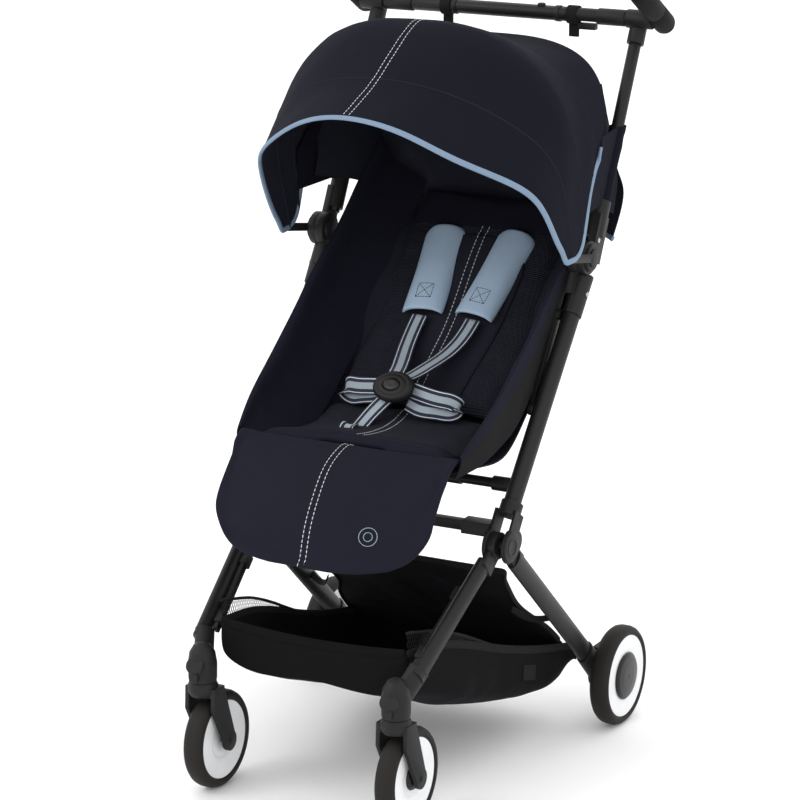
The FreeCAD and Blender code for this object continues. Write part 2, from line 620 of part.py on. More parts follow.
def rear_leg():
    start, end = at(208, along(PIVOT, -42.4, 38)), Vector(210, 190, 95)
    direction = end - start
    tube = oval_tube("RearLegTube", "Dimensions.rear_leg_half_wide - 1", "Dimensions.rear_leg_half_thick",
                     str(round(direction.Length, 2)), Placement(start, aim(direction, Vector(0, 0.67, 0.74))))
    disc = disc_x("RearLegDisc", REAR_PIN, 202.0, 213.0, "14")
    arm = block("RearLegArm", Placement(), "1", "1", "1")
    bind(arm, Length="42", Width="26", Height="11")
    arm.Placement = Placement(at(202.0, REAR_PIN), Rotation(X_AXIS, -42.4).multiply(ALONG_X)).multiply(
        Placement(Vector(0, -27, 0), Rotation()))
    bore = disc_x("RearLegBore", REAR_PIN, 201.0, 213.4, "Dimensions.pin_radius + Dimensions.running_gap")
    stock["rear_leg"] = cut("RearLeg", fuse("RearLegSolid", tube, disc, arm), bore)
    keep_pair(stock["rear_leg"], "rear_leg")


def rear_hub():
    """Hub housing at the foot of the rear leg, with the wheel's axle."""
    drum = disc_x("HubDrum", REAR_AXLE, 203.5, 225.0, "23")
    collar = oval_tube("HubCollar", "18", "11", "58", Placement(
        Vector(210, 163, 119), aim(Vector(0.3, 46, -45), Vector(0, 0.67, 0.74))))
    axle = disc_x("RearAxle", REAR_AXLE, 224.0, 250.0, "5")
    stock["rear_hub"] = cut("RearHub", fuse("RearHubSolid", drum, collar, axle), stock["rear_leg"])
    keep_both(stock["rear_hub"], "rear_hub_housings")


def brake_pedal():
    """Foot lever behind the right hub."""
    pin = (246.0, 92.0)
    lever = [("-6", "-6"), ("36", "-3"), ("40", "2"), ("36", "7"), ("-6", "7")]
    pedal = plate("BrakeLever", lever, "30", Placement(at(186, pin), ALONG_X))
    hole = disc_x("BrakeBore", pin, 180, 220, "3.05")
    keep(cut("BrakePedal", pedal, hole), "brake_pedal")
    shaft = disc_x("BrakePin", pin, 182, 224, "3")
    lug = block("BrakeLug", Placement(at(218.0, (235.0, 80.0)), ALONG_X), "30", "30", "6")
    keep(cut("BrakePivot", fuse("BrakePivotSolid", shaft, lug), stock["rear_hub"]), "brake_pivot")


# ---------------------------------------------------------------- soft goods

def slab(name, profile, half_width):
    """A side-view outline drawn out to both sides of the centre plane."""
    wire = Part.makePolygon([at(-half_width, p) for p in profile + profile[:1]])
    return solid_feature(name, Part.Face(wire).extrude(Vector(2 * half_width, 0, 0)))


def thick_line(points, thickness):
    """The outline of a bent strip: the points, and the same points set back by the thickness."""
    back = []
    for n, point in enumerate(points):
        before, after = points[max(n - 1, 0)], points[min(n + 1, len(points) - 1)]
        length = math.dist(before, after)
        normal = ((after[1] - before[1]) / length, -(after[0] - before[0]) / length)
        back.append((point[0] + normal[0] * thickness, point[1] + normal[1] * thickness))
    return list(points) + back[::-1]


def seat():
    thick = dim("panel_thick")
    base = [(-116.0, 474.0), (-80.0, 467.5), (-30.0, 463.0), (10.0, 474.0)]
    keep(slab("SeatBase", thick_line(base, thick), dim("seat_half_width")), "seat_base")
    back = [(30.0, 492.0), (90.0, 536.0), (149.0, 581.0), (222.0, 664.0), (274.0, 713.0), (306.0, 736.0)]
    panel = slab("BackrestSlab", thick_line(back, thick), dim("back_half_width"))
    rod = hem_rod("BackrestRod", RECLINE_AXIS, dim("back_half_width"))
    keep(fuse("BackrestPanel", panel, rod), "backrest_panel")


def hem_rod(name, point, half_width):
    """Rod in a hem, which the panel turns on."""
    return disc_x(name, point, -half_width, half_width, "Dimensions.hem_rod_radius")


def ruled_solid(first, first_back, second, second_back):
    """A thin solid between two edges and the same two edges set back by its thickness."""
    edges = [spline_edge(points) for points in (first, first_back, second, second_back)]
    faces = [Part.makeRuledSurface(edges[a], edges[b]) for a, b in ((0, 2), (1, 3), (0, 1), (2, 3))]
    for end in (0, -1):
        start = Part.makeLine(Vector(first[end]), Vector(first_back[end]))
        finish = Part.makeLine(Vector(second[end]), Vector(second_back[end]))
        faces.append(Part.makeRuledSurface(start, finish))
    shell = Part.makeShell(faces)
    shell.sewShape()
    solid = Part.makeSolid(shell)
    if solid.Volume < 0:
        solid.reverse()
    return solid


def side_wing():
    """Sling fabric from the push tube to the edge of the backrest."""
    shift = Vector(-dim("fabric_thick"), 0, 0)
    outer, inner = [], []
    for share in (0.0, 0.35, 0.7, 1.0):
        tube = along(PIVOT, dim("push_angle"), 130 + 235 * share)
        outer.append(at(184, tube))
        inner.append(at(dim("back_half_width") + 4, (44 + 185 * share, 492 + 178 * share)))
    sheet_solid = ruled_solid(outer, [p + shift for p in outer], inner, [p + shift for p in inner])
    keep_both(solid_feature("SideWing", sheet_solid), "side_wings")


def leg_rest():
    """Padded panel that hangs from a rod at the seat's front edge, with its sides swept back."""
    line = [(-176.0, 489.0), (-224.0, 474.0), (-252.0, 446.0), (-277.0, 407.0), (-294.0, 357.0)]
    thick = -14
    top, fall = 489, 132
    wires = []
    for x, back, short in ((-172, 46, 26), (-95, 14, 3), (0, 0, 0), (95, 14, 3), (172, 46, 26)):
        points = []
        for y, z in thick_line(line, thick):
            lift = short * (top - z) / fall
            points.append(Vector(x, y + back, z - 0.12 * back + lift))
        wires.append(Part.makePolygon(points + points[:1]))
    panel = solid_feature("LegRestPanel", Part.makeLoft(wires, True, True, False))
    keep(fuse("LegRest", panel, hem_rod("LegRestRod", LEG_REST_AXIS, 120)), "leg_rest")


CANOPY_BOWS = {
    "front": [(0, -168, 946), (78, -153, 930), (139, -125, 897), (190, -72, 862), (222, -20, 828), (228, 24, 745)],
    "second": [(0, -67, 990), (85, -57, 981), (150, -36, 955), (198, -2, 915), (225, 32, 862), (229, 54, 750)],
    "top": [(0, 42, 1048), (90, 46, 1040), (158, 54, 1008), (205, 64, 955), (227, 78, 888), (230, 80, 762)],
    "dip": [(0, 150, 1014), (90, 146, 1009), (160, 137, 983), (206, 124, 935), (228, 112, 880), (231, 100, 772)],
    "rear": [(0, 276, 1001), (90, 270, 997), (160, 250, 975), (206, 212, 925), (229, 184, 880), (233, 150, 800)],
}


def bow_edges(points, thickness):
    """Outer and inner points of one fabric arch, from hem to hem."""
    outer = [Vector(-x, y, z) for x, y, z in points[:0:-1]] + [Vector(*p) for p in points]
    inner = []
    for p in outer:
        shrink = 1 - thickness / 230
        inner.append(Vector(p.x * shrink, p.y, HINGE[1] + (p.z - HINGE[1]) * (1 - thickness / 300)))
    return outer, inner


def canopy():
    names = list(CANOPY_BOWS)
    labels = ("canopy_front_panel", "canopy_second_panel", "canopy_top_panel", "canopy_rear_panel")
    gap = 0.004
    for n, label in enumerate(labels):
        first, second = CANOPY_BOWS[names[n]], CANOPY_BOWS[names[n + 1]]
        start = [tuple(a + (b - a) * gap for a, b in zip(p, q)) for p, q in zip(first, second)]
        end = [tuple(b - (b - a) * gap for a, b in zip(p, q)) for p, q in zip(first, second)]
        panel = ruled_solid(*bow_edges(start, dim("fabric_thick")), *bow_edges(end, dim("fabric_thick")))
        keep(solid_feature(label + "Solid", panel), label)


def canopy_arms():
    """Flat arms of the front bow, which turn on the handle hinge's line."""
    tip = (70.0, 728.5)
    low_x, high_x = 228.2, 230.0
    disc = disc_x("CanopyArmDisc", HINGE, low_x, high_x, "13")
    angle = math.degrees(math.atan2(tip[1] - HINGE[1], tip[0] - HINGE[0]))
    bar = block("CanopyArmBar", Placement(), "1", "1", "1")
    bind(bar, Length=str(round(math.dist(HINGE, tip), 3)), Width="12", Height=str(round(high_x - low_x, 3)))
    bar.Placement = Placement(at(low_x, HINGE), Rotation(X_AXIS, angle).multiply(ALONG_X)).multiply(
        Placement(Vector(0, -6, 0), Rotation()))
    keep_both(fuse("CanopyArm", disc, bar), "canopy_arms")


def basket():
    """Open bag between the legs, narrower in front: outer shape less its inside."""
    stations = [
        # y, floor height, rim height, half width at the floor, half width at the rim
        (-262.0, 184.0, 240.0, 126.0, 134.0),
        (-232.0, 168.0, 236.0, 130.0, 138.0),
        (-120.0, 124.0, 211.0, 148.0, 152.0),
        (-14.0, 90.0, 172.0, 162.0, 164.0),
        (91.0, 70.0, 139.0, 170.0, 173.0),
        (190.0, 72.0, 114.0, 174.0, 178.0),
    ]
    thick = dim("fabric_thick")
    shapes = []
    for gap, lift in ((0.0, 0.0), (thick, 30.0)):
        wires = []
        for n, (y, low, high, half_low, half_high) in enumerate(stations):
            shift = gap if n == 0 else -gap if n == len(stations) - 1 else 0
            corners = []
            for side, half, z in ((-1, half_low, low + gap), (1, half_low, low + gap),
                                  (1, half_high, high + lift), (-1, half_high, high + lift)):
                corners.append(Vector(side * (half - gap), y + shift, z))
            wires.append(Part.makePolygon(corners + corners[:1]))
        shapes.append(Part.makeLoft(wires, True, True, False))
    bag = solid_feature("BasketBag", shapes[0].cut(shapes[1]))
    foot, top, half_wide = (188.5, 97.0), (-25.0, 290.0), 150.0
    rise = at(0, top) - at(0, foot)
    curtain = block("BasketCurtain", Placement(at(-half_wide, foot), aim(rise.cross(X_AXIS), rise)), "1", "1", "1")
    bind(curtain, Length=str(round(rise.Length, 3)), Width=str(2 * half_wide), Height=str(thick))
    keep(fuse("Basket", bag, curtain), "basket")


def on_back(share, lift):
    """A point of the backrest's side-view line, set off from its face."""
    low, high = (30.0, 492.0), (222.0, 664.0)
    length = math.dist(low, high)
    c, s = (high[0] - low[0]) / length, (high[1] - low[1]) / length
    y, z = low[0] + c * length * share, low[1] + s * length * share
    return y - s * lift, z + c * lift


def harness():
    """Shoulder pads, webbing and the buckle."""
    pads = []
    low, high = on_back(0.64, 24), on_back(1.16, 20)
    angle = math.degrees(math.atan2(high[1] - low[1], high[0] - low[0]))
    for x in (48, -52):
        pad = block("ShoulderPad", Placement(), "1", "1", "1")
        bind(pad, Length=str(round(math.dist(low, high), 3)), Width="Dimensions.pad_thick",
             Height="Dimensions.pad_width")
        pad.Placement = Placement(at(x - dim("pad_width") / 2, low), Rotation(X_AXIS, angle).multiply(ALONG_X)).multiply(
            Placement(Vector(0, -dim("pad_thick") / 2, 0), Rotation()))
        pads.append(pad)
    keep(group("ShoulderPads", *pads), "shoulder_pads")
    centre = Vector(0, -16, 530)
    buckle = [("0", "0"), ("Dimensions.buckle_half_wide", "0"), ("Dimensions.buckle_half_wide + 1", "3"),
              ("Dimensions.buckle_half_wide - 2", "Dimensions.buckle_thick - 3"),
              ("Dimensions.buckle_half_wide - 8", "Dimensions.buckle_thick"), ("12.3", "Dimensions.buckle_thick"),
              ("12.3", "Dimensions.buckle_thick - 5"), ("0", "Dimensions.buckle_thick - 5")]
    facing = aim(Vector(0, -0.76, 0.65), X_AXIS)
    stock["buckle"] = revolved("BuckleShell", buckle, Placement(centre, facing))
    keep(stock["buckle"], "buckle")
    button = [("0", "Dimensions.buckle_thick - 2.5"), ("0", "Dimensions.buckle_thick + 1.5"),
              ("10.5", "Dimensions.buckle_thick + 1.5"), ("12", "Dimensions.buckle_thick + 0.5"),
              ("12", "Dimensions.buckle_thick - 2.5")]
    keep(revolved("BuckleButton", button, Placement(centre, facing)), "buckle_button")


def webbing():
    """Shoulder, waist and crotch straps as flat strips."""
    thick = dim("strap_thick")
    pieces = []
    routes = [
        (on_back(0.625, 22), (-2.0, 548.0), 44, 20),
        (on_back(0.625, 22), (-2.0, 548.0), -50, -20),
    ]
    for low, high, x_low, x_high in routes:
        start, end = at(x_low, low), at(x_high, high)
        direction = end - start
        turned = aim(direction, X_AXIS)
        pieces.append(block("ShoulderStrap", Placement(start, turned), "Dimensions.strap_width",
                            str(thick), str(round(direction.Length, 2))))
    keep(cut("ShoulderStrapsCut", group("ShoulderStraps", *pieces), stock["buckle"]), "shoulder_straps")
    lap = []
    for side in (-1, 1):
        start, end = Vector(side * 36, -12, 528), Vector(side * 118, 8, 500)
        direction = end - start
        turned = aim(direction, Vector(0, 0.6, 1))
        lap.append(block("WaistStrap", Placement(start, turned), "Dimensions.strap_width",
                         str(thick), str(round(direction.Length, 2))))
    start, end = Vector(0, -34, 514), Vector(0, -66, 474)
    direction = end - start
    lap.append(block("CrotchStrap", Placement(start, aim(direction, X_AXIS)), "Dimensions.strap_width",
                     str(thick), str(round(direction.Length, 2))))
    keep(cut("LapStrapsCut", group("LapStraps", *lap), stock["buckle"]), "lap_straps")


# ---------------------------------------------------------------- build, check, write

for make in (push_tube, pivot_housing, pivot_cap, hinge_lower, handle_tube, hinge_upper, hinge_cap,
             link_bar, frame_screws, seat_brace, lower_cross_link, handle_collar,
             cross_tube, cross_sleeves, grips, fold_controls, strap_hooks, front_leg, front_rail,
             castor_housing, fork, swivel_lock, front_wheels, rear_wheels, rear_leg, rear_hub,
             brake_pedal, seat, side_wing, leg_rest, canopy, canopy_arms, basket, harness, webbing):
    make()

doc.recompute()
faults = []
for obj in doc.Objects:
    if "Invalid" in obj.State or "Error" in obj.State:
        faults.append(f"{obj.Label}: {obj.State}")
for obj in kept:
    if obj.Shape.isNull() or not obj.Shape.isValid() or not obj.Shape.Solids:
        faults.append(f"{obj.Label}: no valid solid")
if faults:
    raise SystemExit("\n".join(faults))

os.makedirs("parts", exist_ok=True)
for obj in kept:
    obj.Shape.exportStep(f"parts/{obj.Label}.step")
print(len(kept), "nodes written")
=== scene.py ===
import json
import math

import bpy
import numpy as np
from mathutils import Matrix, Vector, noise
from mathutils.bvhtree import BVHTree


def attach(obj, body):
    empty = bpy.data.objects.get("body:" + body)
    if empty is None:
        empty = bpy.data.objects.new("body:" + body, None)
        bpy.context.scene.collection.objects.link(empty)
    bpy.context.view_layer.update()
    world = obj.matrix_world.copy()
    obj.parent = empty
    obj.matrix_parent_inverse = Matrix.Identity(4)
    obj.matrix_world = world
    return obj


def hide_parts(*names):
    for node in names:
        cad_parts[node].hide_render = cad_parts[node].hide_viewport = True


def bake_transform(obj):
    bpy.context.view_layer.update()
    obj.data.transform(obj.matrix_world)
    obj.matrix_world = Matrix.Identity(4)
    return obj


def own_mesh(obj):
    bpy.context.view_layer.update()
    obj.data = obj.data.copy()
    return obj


# Looks of the folding stroller around its CAD frame. Points are in millimetres in the frame's
# axes (X across, Y to the back, Z up) and become metres where a mesh is made.

MM = 0.001
SIDES = ((-1, "left"), (1, "right"))

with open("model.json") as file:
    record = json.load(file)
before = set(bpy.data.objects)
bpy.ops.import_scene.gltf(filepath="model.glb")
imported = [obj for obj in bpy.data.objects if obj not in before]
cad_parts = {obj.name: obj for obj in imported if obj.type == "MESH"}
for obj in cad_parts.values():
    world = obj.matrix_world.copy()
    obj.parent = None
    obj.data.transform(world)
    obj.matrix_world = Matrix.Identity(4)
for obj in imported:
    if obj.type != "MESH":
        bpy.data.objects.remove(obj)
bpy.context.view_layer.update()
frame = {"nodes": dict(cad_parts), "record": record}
nodes = frame["nodes"]
scene = bpy.context.scene


# ---- camera and studio

CAMERA_ANGLES = (28.657, 15.205, -0.2025)      # azimuth, elevation and roll, in degrees
CAMERA_PLACE = (2.07005, -3.80107, 1.69025)    # in metres
CAMERA_LENS, SENSOR_WIDTH = 142.3, 36
WORLD_STRENGTH = 1.32


def place_camera():
    azimuth, elevation, roll = (math.radians(a) for a in CAMERA_ANGLES)
    ahead = Vector((-math.sin(azimuth) * math.cos(elevation),
                    math.cos(azimuth) * math.cos(elevation), -math.sin(elevation)))
    right = Vector((math.cos(azimuth), math.sin(azimuth), 0))
    up = right.cross(ahead)
    turned_right = right * math.cos(roll) + up * math.sin(roll)
    turned_up = up * math.cos(roll) - right * math.sin(roll)
    camera = bpy.data.objects.new("camera", bpy.data.cameras.new("camera"))
    scene.collection.objects.link(camera)
    place = Matrix((turned_right, turned_up, -ahead)).transposed().to_4x4()
    place.translation = Vector(CAMERA_PLACE)
    camera.matrix_world = place
    camera.data.lens = CAMERA_LENS
    camera.data.sensor_width = SENSOR_WIDTH
    camera.data.clip_end = 50
    scene.camera = camera


def area_light(name, place, target, size, power):
    light = bpy.data.lights.new(name, "AREA")
    light.shape = "RECTANGLE"
    light.size, light.size_y = size
    light.energy = power
    lamp = bpy.data.objects.new(name, light)
    scene.collection.objects.link(lamp)
    lamp.location = place
    lamp.rotation_mode = "QUATERNION"
    lamp.rotation_quaternion = (Vector(target) - Vector(place)).to_track_quat("-Z", "Y")


def studio():
    world = bpy.data.worlds.new("studio")
    scene.world = world
    world.use_nodes = True
    sky = world.node_tree.nodes["Background"].inputs
    sky["Color"].default_value = (1, 1, 1, 1)
    sky["Strength"].default_value = WORLD_STRENGTH
    scene.view_settings.view_transform = "Standard"
    area_light("key", (-1.9, -2.6, 2.9), (0, 0, 0.6), (1.6, 1.6), 30)
    area_light("fill", (3.0, -1.6, 1.8), (0, 0, 0.5), (1.4, 2.2), 7)
    area_light("rim", (1.2, 2.8, 2.4), (0, 0, 0.6), (2.0, 1.2), 9)
    bpy.ops.mesh.primitive_plane_add(size=30)
    floor = bpy.context.object
    floor.name = "floor"
    paint = Shader("floor_paint", (0.96, 0.96, 0.96), 0.9)
    grain = paint.noise(paint.coordinates("Object"), 3.0, 2)
    paint.colour_by(grain, (0.955, 0.955, 0.955), (0.965, 0.965, 0.965))
    floor.data.materials.append(paint.material)


# ---- materials

class Shader:
    """A Principled material, with short ways to add procedural detail to it."""

    def __init__(self, name, colour, roughness, **sockets):
        self.material = bpy.data.materials.new(name)
        self.material.use_nodes = True
        self.tree = self.material.node_tree
        self.surface = self.tree.nodes["Principled BSDF"]
        self.set(self.surface, {"Base Color": (*colour, 1), "Roughness": roughness})
        self.set(self.surface, {key.replace("_", " "): value for key, value in sockets.items()})
        self.normal = None

    def set(self, node, values):
        for key, value in values.items():
            if isinstance(value, bpy.types.NodeSocket):
                self.tree.links.new(value, node.inputs[key])
            else:
                node.inputs[key].default_value = value

    def add(self, kind, values=None, **attributes):
        node = self.tree.nodes.new("ShaderNode" + kind)
        for key, value in attributes.items():
            setattr(node, key, value)
        self.set(node, values or {})
        return node

    def coordinates(self, output):
        return self.add("TexCoord").outputs[output]

    def noise(self, vector, scale, detail=3, roughness=0.55):
        return self.add("TexNoise", {"Vector": vector, "Scale": scale, "Detail": detail,
                                     "Roughness": roughness}).outputs["Fac"]

    def along(self, vector, direction):
        """How far a point lies along a direction."""
        values = {0: vector, 1: direction}
        return self.add("VectorMath", values, operation="DOT_PRODUCT").outputs["Value"]

    def math(self, operation, *values):
        return self.add("Math", dict(enumerate(values)), operation=operation).outputs[0]

    def wave(self, distance, period):
        """From 0 to 1 and back, once in each period of a distance in metres."""
        turned = self.math("SINE", self.math("MULTIPLY", distance, 2 * math.pi / period))
        return self.math("MULTIPLY_ADD", turned, 0.5, 0.5)

    def ramp(self, factor, stops, interpolation="LINEAR"):
        node = self.add("ValToRGB", {"Fac": factor})
        node.color_ramp.interpolation = interpolation
        elements = node.color_ramp.elements
        while len(elements) < len(stops):
            elements.new(0.5)
        for element, (place, colour) in zip(elements, stops):
            element.position = place
            element.color = (*colour, 1)
        return node.outputs["Color"]

    def mix(self, factor, first, second):
        colours = [c if isinstance(c, bpy.types.NodeSocket) else (*c, 1) for c in (first, second)]
        node = self.add("Mix", data_type="RGBA")
        self.set(node, {"Factor": factor, 6: colours[0], 7: colours[1]})
        return node.outputs[2]

    def colour_by(self, factor, low, high):
        self.set(self.surface, {"Base Color": self.mix(factor, low, high)})

    def roughness_by(self, factor, low, high):
        spread = self.math("MULTIPLY_ADD", factor, high - low, low)
        self.set(self.surface, {"Roughness": spread})

    def bump(self, height, distance, strength=1.0):
        node = self.add("Bump", {"Height": height, "Distance": distance, "Strength": strength})
        if self.normal is not None:
            self.set(node, {"Normal": self.normal})
        self.normal = node.outputs["Normal"]
        self.set(self.surface, {"Normal": self.normal})


def scaled(colour, factor):
    return tuple(min(1.0, c * factor) for c in colour)


def woven(name, colour, yarn=0.0011, coordinates="UV", sheen=0.02, across=(1, 0, 0), along=(0, 1, 0)):
    """Plain weave: yarns over and under, cloudy colour, and a soft sheen."""
    look = Shader(name, colour, 0.86, Sheen_Weight=sheen, Sheen_Roughness=0.45,
                    Specular_IOR_Level=0.04)
    look.surface.inputs["Sheen Tint"].default_value = (0.75, 0.8, 1.0, 1)
    point = look.coordinates(coordinates)
    warp = look.wave(look.along(point, across), yarn)
    weft = look.wave(look.along(point, along), yarn)
    weave = look.math("MULTIPLY", look.math("ADD", warp, weft), 0.5)
    cloud = look.noise(point, 14.0, 4)
    slub = look.noise(point, 420.0, 2)
    tone = look.math("ADD", look.math("MULTIPLY", weave, 0.35), look.math("MULTIPLY", cloud, 0.4))
    tone = look.math("ADD", tone, look.math("MULTIPLY", slub, 0.25))
    look.colour_by(tone, scaled(colour, 0.72), scaled(colour, 1.28))
    look.roughness_by(slub, 0.78, 0.94)
    look.bump(look.noise(point, 38.0, 3), 0.0012, 0.35)
    look.bump(weave, 0.00025, 0.6)
    return look.material


def ribbed_mesh(name, colour, rib, ribs_along, across):
    """Spacer mesh: fine raised ribs with small holes between them, with painted shade low between the ribs and
    paler rib crests.
    """
    look = Shader(name, colour, 0.8, Sheen_Weight=0.02, Sheen_Roughness=0.5, Specular_IOR_Level=0.08)
    point = look.coordinates("Object")
    ridge = look.wave(look.along(point, ribs_along), rib)
    hole = look.wave(look.along(point, across), rib * 0.6)
    height = look.math("ADD", ridge, look.math("MULTIPLY", hole, 0.25))
    tone = look.math("MULTIPLY_ADD", look.noise(point, 26.0, 3), 0.5, 0.0)
    # Painted shade: the colour follows the ribs' height, darker in the grooves and holes and paler on the
    # crests.
    tone = look.math("MULTIPLY_ADD", height, 0.45, tone)
    look.colour_by(tone, scaled(colour, 0.45), scaled(colour, 1.6))
    look.bump(height, 0.0012, 0.9)
    return look.material


def striped_webbing(name, width):
    """Navy webbing with a broad silver stripe and a thin white line near each edge."""
    navy, white, silver = (0.008, 0.014, 0.04), (0.62, 0.66, 0.7), (0.36, 0.42, 0.47)
    look = Shader(name, navy, 0.7, Sheen_Weight=0.1, Specular_IOR_Level=0.35)
    point = look.coordinates("UV")
    parts = look.add("SeparateXYZ", {"Vector": point})
    share = look.math("MULTIPLY", parts.outputs["X"], 1 / width)
    stripes = look.ramp(share, [(0.0, navy), (0.07, white), (0.125, navy), (0.31, silver), (0.69, navy),
                                  (0.875, white), (0.93, navy)], "CONSTANT")
    rib = look.wave(parts.outputs["Y"], 0.0014)
    fibre = look.noise(point, 900.0, 2)
    shade = look.math("MULTIPLY_ADD", rib, 0.25, look.math("MULTIPLY_ADD", fibre, 0.5, 0.5))
    node = look.add("Mix", data_type="RGBA", blend_type="MULTIPLY")
    grey = look.add("CombineColor", {0: shade, 1: shade, 2: shade}).outputs[0]
    look.set(node, {"Factor": 1.0, 6: stripes, 7: grey})
    look.set(look.surface, {"Base Color": node.outputs[2]})
    look.bump(rib, 0.0003, 0.7)
    return look.material


def moulded(name, colour, roughness, grain=900.0, depth=0.00006, coat=0.0, edge_highlight_strength=0.35, **sockets):
    """Moulded or coated surface with a fine grain, cloudy gloss and a painted highlight that makes its sharp
    edges slightly paler.
    """
    sockets.setdefault("Specular_IOR_Level", 0.22)
    look = Shader(name, colour, roughness, Coat_Weight=coat, Coat_Roughness=0.25, **sockets)
    point = look.coordinates("Object")
    fine = look.noise(point, grain, 2)
    cloud = look.noise(point, 22.0, 4)
    # Painted highlight: sharp convex edges (high pointiness) are mixed towards a paler colour, as if they caught
    # the light.
    edge = look.add("NewGeometry").outputs["Pointiness"]
    edge_highlight_mask = look.ramp(edge, [(0.5, (0, 0, 0)), (0.58, (1, 1, 1))])
    tone = look.math("MULTIPLY_ADD", cloud, 0.6, look.math("MULTIPLY", fine, 0.4))
    body = look.mix(tone, scaled(colour, 0.8), scaled(colour, 1.2))
    painted_edge_highlight = look.math("MULTIPLY", edge_highlight_mask, edge_highlight_strength)
    look.set(look.surface, {"Base Color": look.mix(painted_edge_highlight, body, scaled(colour, 2.2))})
    look.roughness_by(cloud, roughness - 0.06, roughness + 0.08)
    look.bump(fine, depth, 0.5)
    return look.material


def open_net(name, colour, cell):
    """Knitted net: threads in two slanting directions, with open holes between them."""
    look = Shader(name, colour, 0.75, Specular_IOR_Level=0.15)
    point = look.coordinates("UV")
    first = look.wave(look.along(point, (0.8, 0.6, 0)), cell)
    second = look.wave(look.along(point, (0.8, -0.6, 0)), cell)
    thread = look.math("MAXIMUM", first, second)
    cover = look.ramp(thread, [(0.0, (0, 0, 0)), (0.8, (1, 1, 1))], "CONSTANT")
    look.set(look.surface, {"Alpha": cover})
    look.colour_by(look.noise(point, 60.0, 3), scaled(colour, 0.7), scaled(colour, 1.4))
    look.bump(thread, 0.0006, 0.6)
    return look.material


NAVY = (0.0118, 0.0122, 0.0200)
NAVY_DARK = (0.0165, 0.0172, 0.0250)
CHARCOAL = (0.0125, 0.0125, 0.0125)
PIPING_BLUE = (0.19, 0.26, 0.355)
PAD_BLUE = (0.36, 0.47, 0.60)
SEAT_UP = (0, 0.745, 0.667)             # up the backrest's face
SEAT_OUT = (0, -0.667, 0.745)           # out of it, towards the child
SEAT_IN = (0, 0.667, -0.745)
ON_SEAT = {"coordinates": "Object", "along": SEAT_UP}

canopy_fabric = woven("canopy_fabric", scaled(NAVY, 0.68))
lining_fabric = woven("lining_fabric", NAVY_DARK)
seat_fabric = woven("seat_fabric", NAVY)
quilt_fabric = woven("quilt_fabric", NAVY, **ON_SEAT)
centre_fabric = woven("centre_fabric", NAVY_DARK, yarn=0.0014)
charcoal_fabric = woven("charcoal_fabric", CHARCOAL, yarn=0.0015)
basket_fabric = woven("basket_fabric", scaled(CHARCOAL, 0.5), yarn=0.0016)
piping_fabric = woven("piping_fabric", PIPING_BLUE, yarn=0.0009)
pad_fabric = woven("pad_fabric", PAD_BLUE, **ON_SEAT, sheen=0.1)
rib_fabric = ribbed_mesh("rib_fabric", (0.0150, 0.0158, 0.0240), 0.0032, SEAT_UP, (1, 0, 0))
net_fabric = open_net("net_fabric", (0.009, 0.009, 0.009), 0.0042)
webbing = striped_webbing("striped_webbing", 0.025)
plain_webbing = woven("plain_webbing", scaled(CHARCOAL, 1.2), yarn=0.0013)
white_thread = woven("white_thread", (0.62, 0.65, 0.68), yarn=0.0006, coordinates="Object")
black_thread = woven("black_thread", (0.01, 0.01, 0.016), yarn=0.0006, coordinates="Object")
badge_grey = moulded("badge_grey", (0.24, 0.29, 0.34), 0.5)

CAD_FINISH = {
    "tube": moulded("powder_coat", (0.0085, 0.0083, 0.008), 0.42, grain=1400.0, depth=0.00005),
    "black_plastic": moulded("black_plastic", (0.009, 0.0088, 0.0088), 0.5),
    "grip": moulded("grip_foam", (0.0045, 0.0042, 0.0045), 0.8, grain=650.0, depth=0.00025, edge_highlight_strength=0.15),
    "tyre": moulded("tyre_rubber", (0.010, 0.0085, 0.0078), 0.62, grain=500.0, depth=0.00012),
    "rim": moulded("rim_white", (0.76, 0.77, 0.78), 0.4, edge_highlight_strength=0.1),
    "hub": moulded("hub_cap", (0.0085, 0.0065, 0.006), 0.3, coat=0.12),
    "navy_fabric": woven("arm_fabric", NAVY, **ON_SEAT),
    "charcoal_fabric": woven("inner_charcoal", CHARCOAL, **ON_SEAT),
    "pad_fabric": pad_fabric,
    "webbing": woven("hook_webbing", CHARCOAL, **ON_SEAT),
    "steel": moulded("zinc_steel", (0.34, 0.34, 0.35), 0.34, depth=0.00003, Metallic=0.9),
}


# ---- lines and grids of points

def run_length(points):
    """Distance along a row of points, at each of them."""
    return np.concatenate([[0], np.cumsum(np.linalg.norm(np.diff(points, axis=0), axis=1))])


def unit(vectors):
    return vectors / np.maximum(np.linalg.norm(vectors, axis=-1, keepdims=True), 1e-9)


def tangents(line):
    return unit(np.gradient(line, axis=0))


def square_to(tangent, hint):
    """Directions as near as possible to a hint, and square to each tangent."""
    hints = np.broadcast_to(np.array(hint, float), tangent.shape)
    return unit(hints - tangent * np.sum(hints * tangent, axis=1, keepdims=True))


